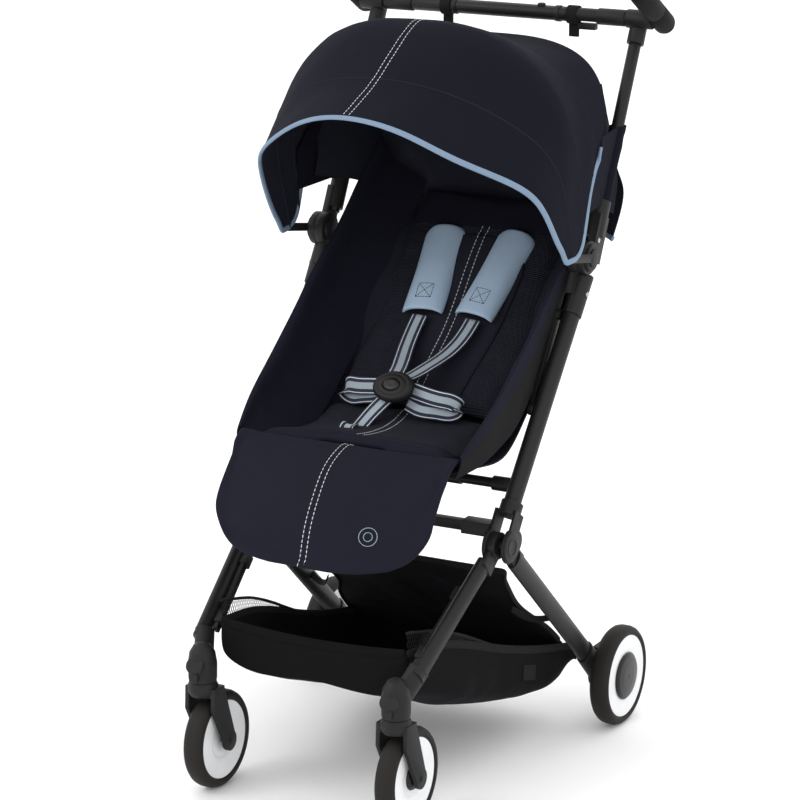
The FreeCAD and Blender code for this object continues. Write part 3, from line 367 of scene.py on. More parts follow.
def smooth_line(points, count):
    """Evenly spaced points of the natural cubic spline through the given ones."""
    p = np.array(points, float)
    shape = p.shape[1:]
    p = p.reshape(len(p), -1)
    steps = np.linalg.norm(np.diff(p, axis=0), axis=1)
    places = run_length(p)
    size = len(p)
    system, target = np.zeros((size, size)), np.zeros_like(p)
    system[0, 0] = system[-1, -1] = 1
    for i in range(1, size - 1):
        system[i, i - 1:i + 2] = steps[i - 1], 2 * (steps[i - 1] + steps[i]), steps[i]
        target[i] = 6 * ((p[i + 1] - p[i]) / steps[i] - (p[i] - p[i - 1]) / steps[i - 1])
    bend = np.linalg.solve(system, target)
    at = np.linspace(0, places[-1], count)
    k = np.clip(np.searchsorted(places, at, side="right") - 1, 0, size - 2)
    after, before = (places[k + 1] - at)[:, None], (at - places[k])[:, None]
    step = steps[k][:, None]
    curve = (bend[k] * after ** 3 + bend[k + 1] * before ** 3) / (6 * step)
    curve += (p[k] / step - bend[k] * step / 6) * after
    curve += (p[k + 1] / step - bend[k + 1] * step / 6) * before
    return curve.reshape(count, *shape)


def straight_line(points, count):
    """Evenly spaced points along the straight runs between the given ones."""
    p = np.array(points, float)
    flat = p.reshape(len(p), -1)
    places = run_length(flat)
    at = np.linspace(0, places[-1], count)
    columns = [np.interp(at, places, column) for column in flat.T]
    return np.array(columns).T.reshape(count, *p.shape[1:])


def both_sides(points):
    """A curve from the centre plane outwards, and its mirror image before it."""
    p = np.array(points, float)
    return np.concatenate([p[:0:-1] * (-1, 1, 1), p])


def side_view(points, count):
    """A smooth line in the centre plane, from its (y, z) points."""
    return smooth_line([(0, y, z) for y, z in points], count)


def lofted(curves, across, along, tautness=0.0):
    """Grid of points over a row of curves: rows go from curve to curve, columns along each curve."""
    lines = np.array([smooth_line(curve, across) for curve in curves])
    return smooth_line(lines, along) * (1 - tautness) + straight_line(lines, along) * tautness


def normals_of(grid):
    return unit(np.cross(*np.gradient(grid, axis=(0, 1))))


def edge_fade(rows, columns, border):
    """1 in the middle of a grid and 0 at its border."""
    down, across = (np.clip(np.minimum(t, 1 - t) / border, 0, 1)
                    for t in (np.linspace(0, 1, rows), np.linspace(0, 1, columns)))
    return down[:, None] * across


def crumpled(grid, height, size, border=None, stretch=(1, 1, 1)):
    """The grid moved in and out by smooth noise, like cloth that isn't quite taut."""
    scale = np.array(stretch) / size
    lift = np.array([[noise.noise(Vector(p * scale)) + 0.4 * noise.noise(Vector(p * scale * 2.3))
                      for p in row] for row in grid])
    if border is not None:
        lift = lift * edge_fade(*grid.shape[:2], border)
    return grid + normals_of(grid) * (lift * height)[..., None]


# ---- meshes

def cut_size(grid):
    """(width, length) of the cloth that makes a grid, and its area, in metres."""
    def run(axis):
        return float(np.linalg.norm(np.diff(grid, axis=axis), axis=2).sum(axis=axis).max()) * MM
    first, second = grid[1:, :-1] - grid[:-1, 1:], grid[1:, 1:] - grid[:-1, :-1]
    area = float(np.linalg.norm(np.cross(first, second), axis=2).sum() / 2) * MM * MM
    return (run(1), run(0)), area


def cloth(grid):
    """Works out the cut size and area of a sheet's grid; they are not used."""
    flat, area = cut_size(grid)


def new_object(name, vertices, faces, material):
    mesh = bpy.data.meshes.new(name)
    mesh.from_pydata((np.array(vertices) * MM).tolist(), [], faces)
    mesh.materials.append(material)
    mesh.shade_smooth()
    piece = bpy.data.objects.new(name, mesh)
    scene.collection.objects.link(piece)
    return piece


def set_uv(mesh, across, along):
    """Gives each vertex its place on the cloth, in metres; rows of vertices lie across it."""
    uv = [(a, b) for b in along for a in across]
    layer = mesh.uv_layers.new(name="cloth")
    loops = np.zeros(len(mesh.loops), int)
    mesh.loops.foreach_get("vertex_index", loops)
    layer.data.foreach_set("uv", (np.array(uv)[loops] * MM).astype(np.float32).ravel())


def quads(rows, columns):
    return [(i, i + 1, i + 1 + columns, i + columns)
            for r in range(rows - 1) for i in range(r * columns, (r + 1) * columns - 1)]


def tube_faces(rings, count, closed_ends=True):
    faces = [(r + c, r + (c + 1) % count, r + count + (c + 1) % count, r + count + c)
             for r in range(0, (rings - 1) * count, count) for c in range(count)]
    if closed_ends:
        faces += [tuple(range(count))[::-1], tuple(range((rings - 1) * count, rings * count))]
    return faces


def face_out(mesh, outward):
    """Turns the faces to look along a direction, or the way a function gives for each place."""
    total = 0.0
    for polygon in mesh.polygons:
        way = outward(polygon.center / MM) if callable(outward) else outward
        total += polygon.normal.dot(Vector(way)) * polygon.area
    if total < 0:
        mesh.flip_normals()


def grid_piece(name, grid, material, outward):
    rows, columns = grid.shape[:2]
    piece = new_object(name, grid.reshape(-1, 3), quads(rows, columns), material)
    set_uv(piece.data, run_length(grid[rows // 2]), run_length(grid[:, columns // 2]))
    face_out(piece.data, outward)
    return piece


def settle(piece):
    """Applies a piece's modifiers to its mesh."""
    graph = bpy.context.evaluated_depsgraph_get()
    graph.update()
    mesh = bpy.data.meshes.new_from_object(piece.evaluated_get(graph), depsgraph=graph)
    piece.modifiers.clear()
    piece.data = mesh
    return piece


def solidify(piece, thickness, offset):
    shell = piece.modifiers.new("cloth", "SOLIDIFY")
    shell.thickness, shell.offset = thickness * MM, offset
    return shell


def thicken(piece, thickness, inside=None):
    """Gives a sheet its thickness, inwards, with another material inside if one is given."""
    shell = solidify(piece, thickness, -1)
    shell.use_even_offset = True
    if inside is not None:
        piece.data.materials.append(inside)
        shell.material_offset = 1
    settle(piece)
    piece.data.set_sharp_from_angle(angle=math.radians(50))
    return piece


def sheet_piece(name, grid, material, outward, thickness, inside=None):
    return thicken(grid_piece(name, grid, material, outward), thickness, inside)


def swept(name, path, section, material, hint=(1, 0, 0), closed_ends=True):
    """A section (points across, and along the hint) carried along a path."""
    p, section = np.array(path, float), np.array(section, float)
    tangent = tangents(p)
    side = square_to(tangent, hint)
    if section.ndim == 2:
        section = np.broadcast_to(section, (len(p), *section.shape))
    up = np.cross(tangent, side)
    rings = p[:, None] + section[..., :1] * up[:, None] + section[..., 1:] * side[:, None]
    faces = tube_faces(*rings.shape[:2], closed_ends)
    piece = new_object(name, rings.reshape(-1, 3), faces, material)
    set_uv(piece.data, run_length(section[0]), run_length(p))
    return piece


def oval(half_up, half_side, count=10, power=1.0):
    """Points of an oval section; a power under 1 squares it off."""
    turn = np.linspace(0, 2 * math.pi, count, endpoint=False)
    c, s = np.cos(turn), np.sin(turn)
    return np.stack([half_up * np.sign(c) * abs(c) ** power, half_side * np.sign(s) * abs(s) ** power], 1)


def ribbon(name, path, width, thickness, material, side):
    """A flat strap along a path, with its width along side."""
    p = np.array(path, float)
    tangent = tangents(p)
    sides = square_to(tangent, side)
    across = np.linspace(-0.5, 0.5, 9)
    camber = (0.25 - across ** 2) * width * 0.05
    grid = (p[:, None] + sides[:, None] * (across * width)[None, :, None]
            + np.cross(tangent, sides)[:, None] * camber[None, :, None])
    piece = new_object(name, grid.reshape(-1, 3), quads(*grid.shape[:2]), material)
    set_uv(piece.data, (across + 0.5) * width, run_length(p))
    solidify(piece, thickness, 0)
    return settle(piece)


def joined(name, pieces):
    """Several meshes as one piece."""
    with bpy.context.temp_override(active_object=pieces[0], selected_editable_objects=pieces):
        bpy.ops.object.join()
    pieces[0].name = name
    pieces[0].data.name = name
    return pieces[0]


def stitches(name, path, material, hint=(1, 0, 0), radius=0.55, stitch=5.0, gap=1.6):
    """A row of thread stitches along a path."""
    p = np.array(path, float)
    length = run_length(p)
    parts = []
    start = 0.0
    while start + stitch <= length[-1]:
        at = np.linspace(start, start + stitch, 4)
        run = np.stack([np.interp(at, length, column) for column in p.T], 1)
        slim = np.array([0.35, 1.0, 1.0, 0.35])[:, None, None] * oval(radius, radius, 6)[None]
        parts.append(swept(name, run, slim, material, hint))
        start += stitch + gap
    return joined(name, parts)


def surface_tree(*pieces):
    """What rays from outside meet on the pieces."""
    vertices, faces = [], []
    for piece in pieces:
        start = len(vertices)
        vertices.extend(v.co / MM for v in piece.data.vertices)
        faces.extend([start + i for i in polygon.vertices] for polygon in piece.data.polygons)
    return BVHTree.FromPolygons(vertices, faces)


def laid_on(tree, points, toward, lift, reach=80.0):
    """Points moved along a direction onto a surface, and lifted off it."""
    way = Vector(toward).normalized()
    moved = []
    for p in np.array(points, float):
        hit = tree.ray_cast(Vector(p) - way * reach, way, reach * 2.5)[0]
        moved.append(tuple((hit if hit is not None else Vector(p)) - way * lift))
    return np.array(moved)


STUFFING_PRESSURE, STUFFING_STEPS = 4.0, 20


def puffed(piece, cap, voxel):
    """Swells a closed form as stuffing does: cloth under pressure, with no point moved beyond the cap.

    A thin pad keeps its own even grid (voxel 0), because voxels would make its edges uneven.
    """
    if voxel:
        remesh = piece.modifiers.new("even", "REMESH")
        remesh.mode, remesh.voxel_size = "VOXEL", voxel * MM
        relax = piece.modifiers.new("relax", "SMOOTH")
        relax.factor, relax.iterations = 0.5, 14
        settle(piece)
    piece.data.shade_smooth()
    start = np.array([v.co for v in piece.data.vertices])
    stuffing = piece.modifiers.new("stuffing", "CLOTH")
    stuffing.settings.use_pressure = True
    stuffing.settings.uniform_pressure_force = STUFFING_PRESSURE
    stuffing.settings.effector_weights.gravity = 0
    stuffing.point_cache.frame_start, stuffing.point_cache.frame_end = 1, STUFFING_STEPS
    for step in range(1, STUFFING_STEPS + 1):
        scene.frame_set(step)
    graph = bpy.context.evaluated_depsgraph_get()
    end = np.array([v.co for v in piece.evaluated_get(graph).data.vertices])
    piece.modifiers.clear()
    move = end - start
    length = np.linalg.norm(move, axis=1, keepdims=True)
    move *= np.minimum(1, cap * MM / np.maximum(length, 1e-9))
    piece.data.vertices.foreach_set("co", (start + move).astype(np.float32).ravel())
    piece.data.update()
    scene.frame_set(1)
    piece.modifiers.new("smooth", "SUBSURF").levels = 1
    settle(piece)
    piece.data.shade_smooth()


# ---- attaching pieces

def on(piece, body):
    """The piece rides a body."""
    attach(piece, body)


def on_seat(piece, body):
    """The same, and the piece gets a mesh of its own."""
    on(piece, body)
    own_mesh(piece)


def mark(piece, share):
    """Notes each vertex's share of the second body before the mesh is changed or joined."""
    piece.data.attributes.new("share", "FLOAT", "POINT").data.foreach_set("value", np.array(share, np.float32))


def give_weights(piece):
    """Reads what mark noted; nothing is done with it."""
    share = np.zeros(len(piece.data.vertices), np.float32)
    piece.data.attributes["share"].data.foreach_get("value", share)


def stitch_pair(name, tree, line, spread, toward, body):
    """Two rows of white stitches on a surface, one on each side of a line."""
    for side, _ in SIDES:
        run = laid_on(tree, line + (side * spread, 0, 0), toward, 0.2)
        thread = stitches("%s_%d" % (name, side > 0), run, white_thread, radius=0.6)
        on_seat(thread, body)


# ---- CAD nodes

def finish_cad_nodes():
    """Each CAD node gets its slot's finish and slightly rounded edges."""
    slot_of = {part["node"]: part["material_slot"] for part in frame["record"]["subparts"]}
    for name, node in nodes.items():
        node.data.materials.clear()
        node.data.materials.append(CAD_FINISH[slot_of[name]])
        weld = node.modifiers.new("weld", "WELD")
        weld.merge_threshold = 0.00002
        bevel = node.modifiers.new("edges", "BEVEL")
        bevel.width = 0.0007
        bevel.segments = 2
        bevel.angle_limit = math.radians(35)
        bevel.harden_normals = True
        node.data.shade_smooth()


# ---- canopy

CANOPY_BOWS = [
    [(0, -168, 946), (78, -153, 930), (139, -125, 897), (190, -72, 862), (217, -26, 828),
     (227, 18, 768), (229, 52, 727)],
    [(0, -67, 990), (85, -57, 981), (150, -36, 955), (198, -2, 915), (225, 32, 862),
     (230, 56, 790), (231, 74, 728)],
    [(0, 42, 1049), (90, 46, 1041), (158, 54, 1009), (205, 64, 955), (228, 76, 880),
     (231, 88, 800), (231, 97, 746)],
    [(0, 150, 1015), (90, 146, 1010), (160, 137, 984), (206, 124, 935), (227, 119, 885), (231, 118, 808)],
    [(0, 276, 1001), (90, 270, 997), (160, 250, 975), (206, 212, 935), (224, 180, 905), (231, 150, 872)],
]
CANOPY_SHARES = [1.0, 0.8, 0.53, 0.3, 0.0]     # how far each bow turns with the front bow
CANOPY_INSIDE = Vector((0, 60, 780))
CANOPY_SEAMS = (13, 30, 46)                    # rows of the sheet with a seam inside


def canopy():
    """One curved sheet over five bows, with a bound edge, stitches and inner seams."""
    rows, columns = 61, 91
    middle = columns // 2
    grid = lofted([both_sides(bow) for bow in CANOPY_BOWS], columns, rows, tautness=0.3)
    centre = grid[:, middle]
    length = run_length(centre)
    at = [length[np.argmin(np.linalg.norm(centre - bow[0], axis=1))] for bow in CANOPY_BOWS]
    share = np.interp(length, at, CANOPY_SHARES)
    grid = crumpled(grid, 1.6, 60.0, 0.06, (1, 1, 0.45))
    sheet = grid_piece("canopy", grid, canopy_fabric, lambda p: p - CANOPY_INSIDE)
    mark(sheet, np.repeat(share, columns))
    thicken(sheet, 1.6, lining_fabric)
    n = normals_of(grid)
    if n[0, middle].dot(np.array([0, -1, 1])) < 0:
        n = -n

    shares = np.repeat(share, columns).reshape(rows, columns, 1)
    fields = np.concatenate([grid, n * 100, shares * 100], 2)
    edge = np.concatenate([fields[::-1, 0], fields[0, 1:-1], fields[:, -1]])
    edge = smooth_line(edge[::2], 320)
    line, across, edge_share = edge[:, :3], edge[:, 3:6], edge[:, 6]
    binding = swept("canopy_binding", line - across * 0.008, oval(4.4, 2.4, 14, 0.8), piping_fabric, across)
    mark(binding, np.repeat(np.clip(edge_share / 100, 0, 1), 14))
    pieces = [sheet, binding]

    for side, _ in SIDES:
        line = grid[:, middle] + side * unit(grid[:, middle + 1] - grid[:, middle]) * 4.2
        run = smooth_line((line + n[:, middle] * 0.35)[1:37], 400)
        thread = stitches("canopy_stitches_%d" % (side > 0), run, white_thread)
        mark(thread, np.interp([v.co.y / MM for v in thread.data.vertices], line[:, 1], share))
        pieces.append(thread)

    for row in CANOPY_SEAMS:
        seam = swept("canopy_seam_%d" % row, grid[row] - n[row] * 2.0, oval(1.6, 2.6, 8), lining_fabric, n[row])
        mark(seam, np.full(len(seam.data.vertices), share[row]))
        pieces.append(seam)

    for piece in pieces:
        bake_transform(piece)
        give_weights(piece)
    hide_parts("canopy_front_panel", "canopy_second_panel", "canopy_top_panel", "canopy_rear_panel")
    cloth(grid)


REAR_FLAP = [
    [(0, 277, 999), (90, 271, 995), (158, 252, 972), (188, 236, 948)],
    [(0, 300, 930), (100, 297, 925), (162, 283, 905), (191, 266, 880)],
    [(0, 325, 850), (100, 323, 848), (165, 312, 836), (191, 296, 812)],
    [(0, 336, 785), (100, 334, 783), (165, 327, 780), (191, 318, 772)],
    [(0, 322, 718), (100, 318, 716), (166, 304, 714), (190, 284, 712)],
]


def rear_flap():
    """The canopy's back curtain, behind the handle tubes, with a bound hem."""
    grid = lofted([both_sides(curve) for curve in REAR_FLAP], 61, 33)
    grid = crumpled(grid, 3.0, 55.0, 0.15, (1, 1, 0.5))
    sheet = sheet_piece("rear_flap", grid, canopy_fabric, (0, 1, 0), 1.6, lining_fabric)
    hem = smooth_line(np.concatenate([grid[-1], normals_of(grid)[-1] * 100], 1)[::2], 200)
    binding = swept("flap_binding", hem[:, :3], oval(4.2, 2.2, 12, 0.8), piping_fabric, hem[:, 3:])
    on(sheet, "handle")
    on(binding, "handle")
    cloth(grid)


GUSSET_LINES = [
    [(188, 234, 946), (206, 210, 934), (223, 180, 904), (229, 152, 871), (220, 140, 836), (219, 128, 796)],
    [(189, 236, 946), (196, 240, 915), (198, 232, 880), (198, 216, 845), (198, 204, 815), (198, 192, 782)],
    [(190, 240, 945), (191, 264, 880), (191, 290, 820), (189, 300, 790), (188, 296, 768), (188, 290, 748)],
]


def gussets():
    """Side pieces that close the gap between the canopy's last bow, the tube and the back curtain."""
    plain = np.array([smooth_line(row, 22) for row in zip(*(smooth_line(line, 30) for line in GUSSET_LINES))])
    for side, name in SIDES:
        grid = crumpled(plain * (side, 1, 1), 1.5, 45.0, 0.2)
        piece = sheet_piece("gusset_" + name, grid, canopy_fabric, (side, 0, 0), 1.4, lining_fabric)
        on(piece, "handle")
        cloth(grid)


def handle_tube(z):
    """The middle of the right handle tube at a height."""
    return np.array([212.0, 163 + (z - 716) * 0.5, z])


def sleeves():
    """Fabric sleeves round the handle tubes, each with a wide flap forward under the canopy's side."""
    rows = []
    for z in np.linspace(784, 886, 15):
        centre = handle_tube(z)
        turn = np.radians(np.linspace(-60, 240, 19))
        ring = [centre + (12.2 * math.cos(a), 12.2 * math.sin(a), 0) for a in turn]
        edge = 92 + max(0.0, z - 840) * 1.1
        outer = [np.array([218 + 9 * r, (centre[1] - 12) * (1 - r) + edge * r, z - 4 * r])
                 for r in np.linspace(0, 1, 9)[1:]]
        inner = [p - (1.6, 0, 0) for p in outer]
        rows.append(inner[::-1] + ring[::-1] + outer)
    plain = crumpled(np.array(rows), 0.9, 16.0)
    for side, name in SIDES:
        grid = plain * (side, 1, 1)
        piece = sheet_piece("sleeve_" + name, grid, canopy_fabric,
                            lambda p: p - Vector(handle_tube(p.z) * (side, 1, 1)), 1.2)
        on(piece, "handle")
        cloth(grid)


# ---- seat

BACK_LINE = [(30, 488), (90, 536), (149, 581), (222, 664), (274, 713), (318, 750)]
BACK_HALF, BACK_LENGTH = 134, 368
QUILTED_FROM = 0.86                     # share of the backrest's length where its quilted end starts
ARCH_START, ARCH_RUN = 0.78, 0.22       # shares of the centre panel below its round end, and in it
SEAT_LINE = [(26, 486), (-20, 472), (-75, 470), (-125, 477), (-160, 485)]
WALL_TOP = np.array([
    (176, -163, 495), (184, -116, 529), (188, -65, 562), (189, -20, 595), (190, 26, 630),
    (190, 66, 665), (190, 138, 716), (191, 205, 772), (189, 270, 830)], float)
WALL_FOOT = np.array([
    (150, -150, 474), (142, -100, 470), (136, -40, 466), (134, 14, 487), (134, 79, 535),
    (134, 140, 580), (134, 211, 663), (134, 262, 708), (134, 318, 762)], float)
WALL_SKIRT = np.array([
    (172, -172, 466), (180, -125, 470), (183, -89, 477), (184, -45, 489), (184, -7, 505),
    (184, 52, 553), (184, 105, 614), (184, 168, 700), (182, 240, 760)], float)


def thick_profile(line, depth, halves, rows, columns, crown):
    """The face of a panel and its back, depth below: a side-view line drawn across by its half widths."""
    spine = side_view(line, rows)
    normal = np.cross(tangents(spine), (1, 0, 0))[:, None]
    share = np.linspace(-1, 1, columns)
    level = np.repeat(spine[:, None], columns, 1)
    level[..., 0] += np.interp(np.linspace(0, 1, rows), *halves)[:, None] * share
    dish = (crown * share ** 2)[:, None]
    return level + normal * dish, level + normal * (dish - depth)


def closed_pad(name, face, back, material):
    """A closed mesh between two grids that have the same rows and columns."""
    rows, columns = face.shape[:2]
    count = rows * columns
    faces = []
    for quad in quads(rows, columns):
        faces += [quad, tuple(i + count for i in quad[::-1])]
    edge = np.arange(count).reshape(rows, columns)
    rim = np.concatenate([edge[0], edge[1:, -1], edge[-1, -2::-1], edge[-2:0:-1, 0]]).tolist()
    faces += [(b, a, a + count, b + count) for a, b in zip(rim, rim[1:] + rim[:1])]
    return new_object(name, np.concatenate([face.reshape(-1, 3), back.reshape(-1, 3)]), faces, material)


def two_tone(piece, second, chooses):
    """Faces for which chooses(point) is true get the second material."""
    piece.data.materials.append(second)
    for polygon in piece.data.polygons:
        if chooses(polygon.center / MM):
            polygon.material_index = 1


def quilted(point):
    """The upper end of the backrest, and its back, are quilted."""
    y, z = point.y - BACK_LINE[0][0], point.z - BACK_LINE[0][1]
    return (y * SEAT_UP[1] + z * SEAT_UP[2]) / BACK_LENGTH > QUILTED_FROM or y * SEAT_UP[2] - z * SEAT_UP[1] > 6


def backrest():
    """Ribbed pad with a plain centre panel, two rows of stitches and a seam down each side."""
    face, back = thick_profile(BACK_LINE, 12, ([0, 1], [BACK_HALF, BACK_HALF]), 40, 30, crown=5)
    pad = closed_pad("back_pad", face, back, rib_fabric)
    puffed(pad, 5, 5.5)
    two_tone(pad, quilt_fabric, quilted)
    on_seat(pad, "backrest")
    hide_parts("backrest_panel")

    rows, columns = 46, 25
    line = side_view(BACK_LINE, 200)
    arch = []
    for s in np.linspace(0.0, 1.0, rows):
        half = 66 + 26 * s
        if s > ARCH_START:
            half = half * math.sqrt(max(0.0, 1 - ((s - ARCH_START) / ARCH_RUN) ** 2)) + 0.5
        arch += [line[int(4 + s * 0.80 * 190)] + (x * half, 0, 0) for x in np.linspace(-1, 1, columns)]
    grid = laid_on(surface_tree(pad), arch, SEAT_IN, 0.4).reshape(rows, columns, 3)
    panel = grid_piece("back_centre", grid, centre_fabric, SEAT_OUT)
    solidify(panel, 1.8, 1)
    settle(panel)
    on_seat(panel, "backrest")
    cloth(grid)
    line = side_view(BACK_LINE, 120)[6:100]
    stitch_pair("back_stitches", surface_tree(pad, panel), line, 5.5, SEAT_IN, "backrest")
    for side, column in ((-1, 0), (1, -1)):
        run = face[3:-1, column] + (side * 1.5, -2, 2)
        seam = swept("back_seam_%d" % (side > 0), run, oval(1.6, 1.6, 8), lining_fabric)
        on_seat(seam, "backrest")


def seat_cushion():
    """Ribbed cushion with a quilted front edge and underside."""
    face, back = thick_profile(SEAT_LINE[::-1], 12, ([0, 0.3, 1], [156, 146, 138]), 30, 34, crown=7)
    pad = closed_pad("seat_cushion", face, back, rib_fabric)
    puffed(pad, 5, 5.5)
    two_tone(pad, quilt_fabric, lambda p: p.y < -105 or p.z < 466 + abs(p.x) * 0.02 - 6)
    on_seat(pad, "frame")
    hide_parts("seat_base")
    stitch_pair("seat_stitches", surface_tree(pad), side_view(SEAT_LINE, 60)[2:52], 5.5, (0, 0, -1), "frame")


def side_walls():
    """Sling sides: an inner wall from the cushions up to the push tube's line, and an outer skirt."""
    rows, columns, split = 72, 34, 26
    plain = lofted(np.stack([WALL_FOOT, WALL_FOOT * 0.72 + WALL_TOP * 0.28 + (9, 0, 0),
                             WALL_FOOT * 0.3 + WALL_TOP * 0.7 + (6, 0, 0), WALL_TOP + (-3, 0, -1), WALL_TOP], 1),
                   columns, rows)
    for side, name in SIDES:
        grid = crumpled(plain * (side, 1, 1), 2.4, 75.0, 0.15)
        for part, chosen in (("lower", grid[:split + 1]), ("upper", grid[split:])):
            wall = sheet_piece("wall_%s_%s" % (part, name), chosen, seat_fabric, (-side, -0.3, 0.3), 3.2)
            if part == "lower":
                on_seat(wall, "frame")
            else:
                follow_backrest(wall)
            cloth(chosen)
            if part == "lower" and side < 0:
                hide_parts("side_wings")
        outer_skirt(side, name)


def follow_backrest(piece):
    """Bakes an upper wall's place into its mesh."""
    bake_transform(piece)


def outer_skirt(side, name):
    """Outside of the sling: navy along the top edge, charcoal below."""
    rows, columns, navy = 66, 18, 5
    curves = np.stack([WALL_TOP + (0.6, 0, 0), WALL_TOP * 0.7 + WALL_SKIRT * 0.3 + (3, 0, 0),
                       WALL_TOP * 0.3 + WALL_SKIRT * 0.7 + (2, 0, 0), WALL_SKIRT], 1)
    grid = crumpled(lofted(curves, columns, rows) * (side, 1, 1), 1.5, 45.0, 0.2)
    skirt = grid_piece("skirt_" + name, grid, charcoal_fabric, (side, 0, 0))
    skirt.data.materials.append(seat_fabric)
    for n, polygon in enumerate(skirt.data.polygons):
        polygon.material_index = int(n % (columns - 1) < navy)
    thicken(skirt, 2.0)
    on_seat(skirt, "frame")
    cloth(grid)


def sling():
    """Dark lining cloth under the cushion, from one skirt to the other."""
    curves = []
    for y, z, half in ((-160, 462, 170), (-110, 458, 178), (-40, 456, 182), (20, 476, 183), (90, 538, 183),
                       (160, 616, 183), (230, 690, 182), (292, 728, 176)):
        rise = 10 if y < 0 else 22
        curves.append(both_sides([(0, y, z - 10), (half * 0.8, y, z - 2), (half, y - rise * 0.6, z + rise)]))
    grid = crumpled(lofted(curves, 41, 44), 2.5, 60.0, 0.15)
    sheet = sheet_piece("seat_sling", grid, lining_fabric, (0, 0.6, -0.8), 2.0)
    on_seat(sheet, "frame")
    cloth(grid)


REST_LINE = [(-146, 480), (-166, 491), (-196, 487), (-226, 473), (-252, 446), (-279, 405), (-298, 346)]


def leg_rest():
    """Quilted pad with round lower corners; its sides sweep back and lift towards the foot."""
    rows, columns, corner, middle_half = 46, 54, 50.0, 172
    spine = side_view(REST_LINE, rows)
    length = run_length(spine)[-1]
    drop = np.linspace(0, 1, rows)
    face = []
    for p, d in zip(spine, drop):
        half = 174 - 3 * d
        below = (1 - d) * length
        if below < corner:
            half -= corner - math.sqrt(corner ** 2 - (corner - below) ** 2)
        row = []
        for x in np.linspace(-1, 1, columns) * half:
            sweep = 46 * (x / middle_half) ** 2 * min(1.0, d * 2.2)
            lift = 26 * abs(x / middle_half) ** 3 * max(0.0, (d - 0.15) / 0.85)
            row.append(p + (x, sweep, lift - 0.12 * sweep))
        face.append(row)
    face = np.array(face)
    behind = np.where(drop[:, None, None] > 0.1, (0, 8.5, -4.0), (0, 3.0, -9.0))
    pad = closed_pad("leg_rest_pad", face, face + behind, quilt_fabric)
    puffed(pad, 5, 0)
    on_seat(pad, "leg_rest")
    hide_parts("leg_rest")
    tree = surface_tree(pad)
    stitch_pair("leg_rest_stitches", tree, spine[2:], 4.5, (0, 0.75, -0.5), "leg_rest")
    badge(tree)


def badge(tree):
    """Generic round badge: two plain rings, one in the other."""
    centre, across = np.array([88.0, -262, 396]), np.array([1, 0.1, 0])
    up, toward = np.array([0, 0.47, 0.88]), np.array([0, 0.88, -0.47])
    rings = []
    for radius in (12.5, 6.0):
        points = [centre + across * math.cos(a) * radius + up * math.sin(a) * radius
                  for a in np.linspace(0, 2 * math.pi, 41)]
        path = laid_on(tree, points, toward, 0.15)
        rings.append(swept("badge", path, oval(0.55, 1.1, 8), badge_grey, -toward, closed_ends=False))
    on_seat(joined("badge", rings), "leg_rest")


# ---- harness

PADS = {"left": [(-45.5, 136, 607), (-60, 248, 710)], "right": [(38, 136, 609), (57, 250, 712)]}     # low, high
PAD_NORMAL = np.array(SEAT_OUT)


def shoulder_pads():
    """Two pale blue pads, a little wider at their ends than in the middle."""
    rows, columns = 30, 16
    for name, ends in PADS.items():
        low, high = np.array(ends, float)
        length = np.linalg.norm(high - low)
        up = (high - low) / length
        across = np.cross(up, PAD_NORMAL)
        if across[0] < 0:
            across = -across
        face = []
        for s in np.linspace(0, 1, rows):
            half = 33 - 1.5 * math.sin(math.pi * s)
            if s > 0.9:
                half -= 8 * ((s - 0.9) / 0.1) ** 2
            face.append([low + up * (length * s) + across * (a * half)
                         + PAD_NORMAL * (6 * (1 - a * a) - 5 * abs(a) ** 4 + 3.5)
                         for a in np.linspace(-1, 1, columns)])
        face = np.array(face)
        pad = closed_pad("pad_" + name, face, face - PAD_NORMAL * 7, pad_fabric)
        puffed(pad, 3, 0)
        on_seat(pad, "backrest")
        if name == "left":
            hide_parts("shoulder_pads")
        x_box(surface_tree(pad), name, low, up, across)


def x_box(tree, name, low, up, across):
    """Sewn square with a cross in it, near the pad's lower end."""
    size = 24.0
    base, half, rise = low + up * 20, across * size / 2, up * size
    corners = [base - half, base + half, base + half + rise, base - half + rise]
    parts = []
    for a, b in ((0, 1), (1, 2), (2, 3), (3, 0), (0, 2), (1, 3)):
        run = laid_on(tree, np.linspace(corners[a], corners[b], 14), -PAD_NORMAL, 0.1)
        parts.append(stitches("x_box", run, black_thread, PAD_NORMAL, stitch=3.2, gap=0.8))
    on_seat(joined("x_box_" + name, parts), "backrest")


BUCKLE_CENTRE = np.array([-4.0, -22.0, 536.0])
BUCKLE_OUT = np.array([0, -0.76, 0.65])
BUCKLE_UP = np.array([0, 0.65, 0.76])
BUCKLE_WIDE, BUCKLE_HIGH = 32, 24               # halves of its outline
BUCKLE_SHELL = [(0.80, -1), (0.94, 0), (1.0, 2.5), (1.0, 5), (0.95, 8), (0.86, 10.2), (0.78, 11), (0.74, 10.4),
                (0.70, 11.2), (0.62, 12.2), (0.5, 12.8), (0.44, 12.9), (0.43, 11.4), (0.40, 11.2)]
BUCKLE_PRESS = [(0.30, 10.0), (0.39, 10.6), (0.40, 12.6), (0.37, 13.6), (0.25, 14.2), (0.1, 14.0), (0.05, 13.9)]


def domed(name, material, profile, count=56):
    """An oval domed form on the buckle: rings of (share of the outline, height)."""
    vertices = [BUCKLE_CENTRE + (BUCKLE_WIDE * share * math.cos(a), 0, 0)
                + BUCKLE_UP * (BUCKLE_HIGH * share * math.sin(a)) + BUCKLE_OUT * height
                for share, height in profile for a in np.linspace(0, 2 * math.pi, count, endpoint=False)]
    piece = new_object(name, vertices, tube_faces(len(profile), count), material)
    face_out(piece.data, lambda p: p - Vector(BUCKLE_CENTRE))
    return piece


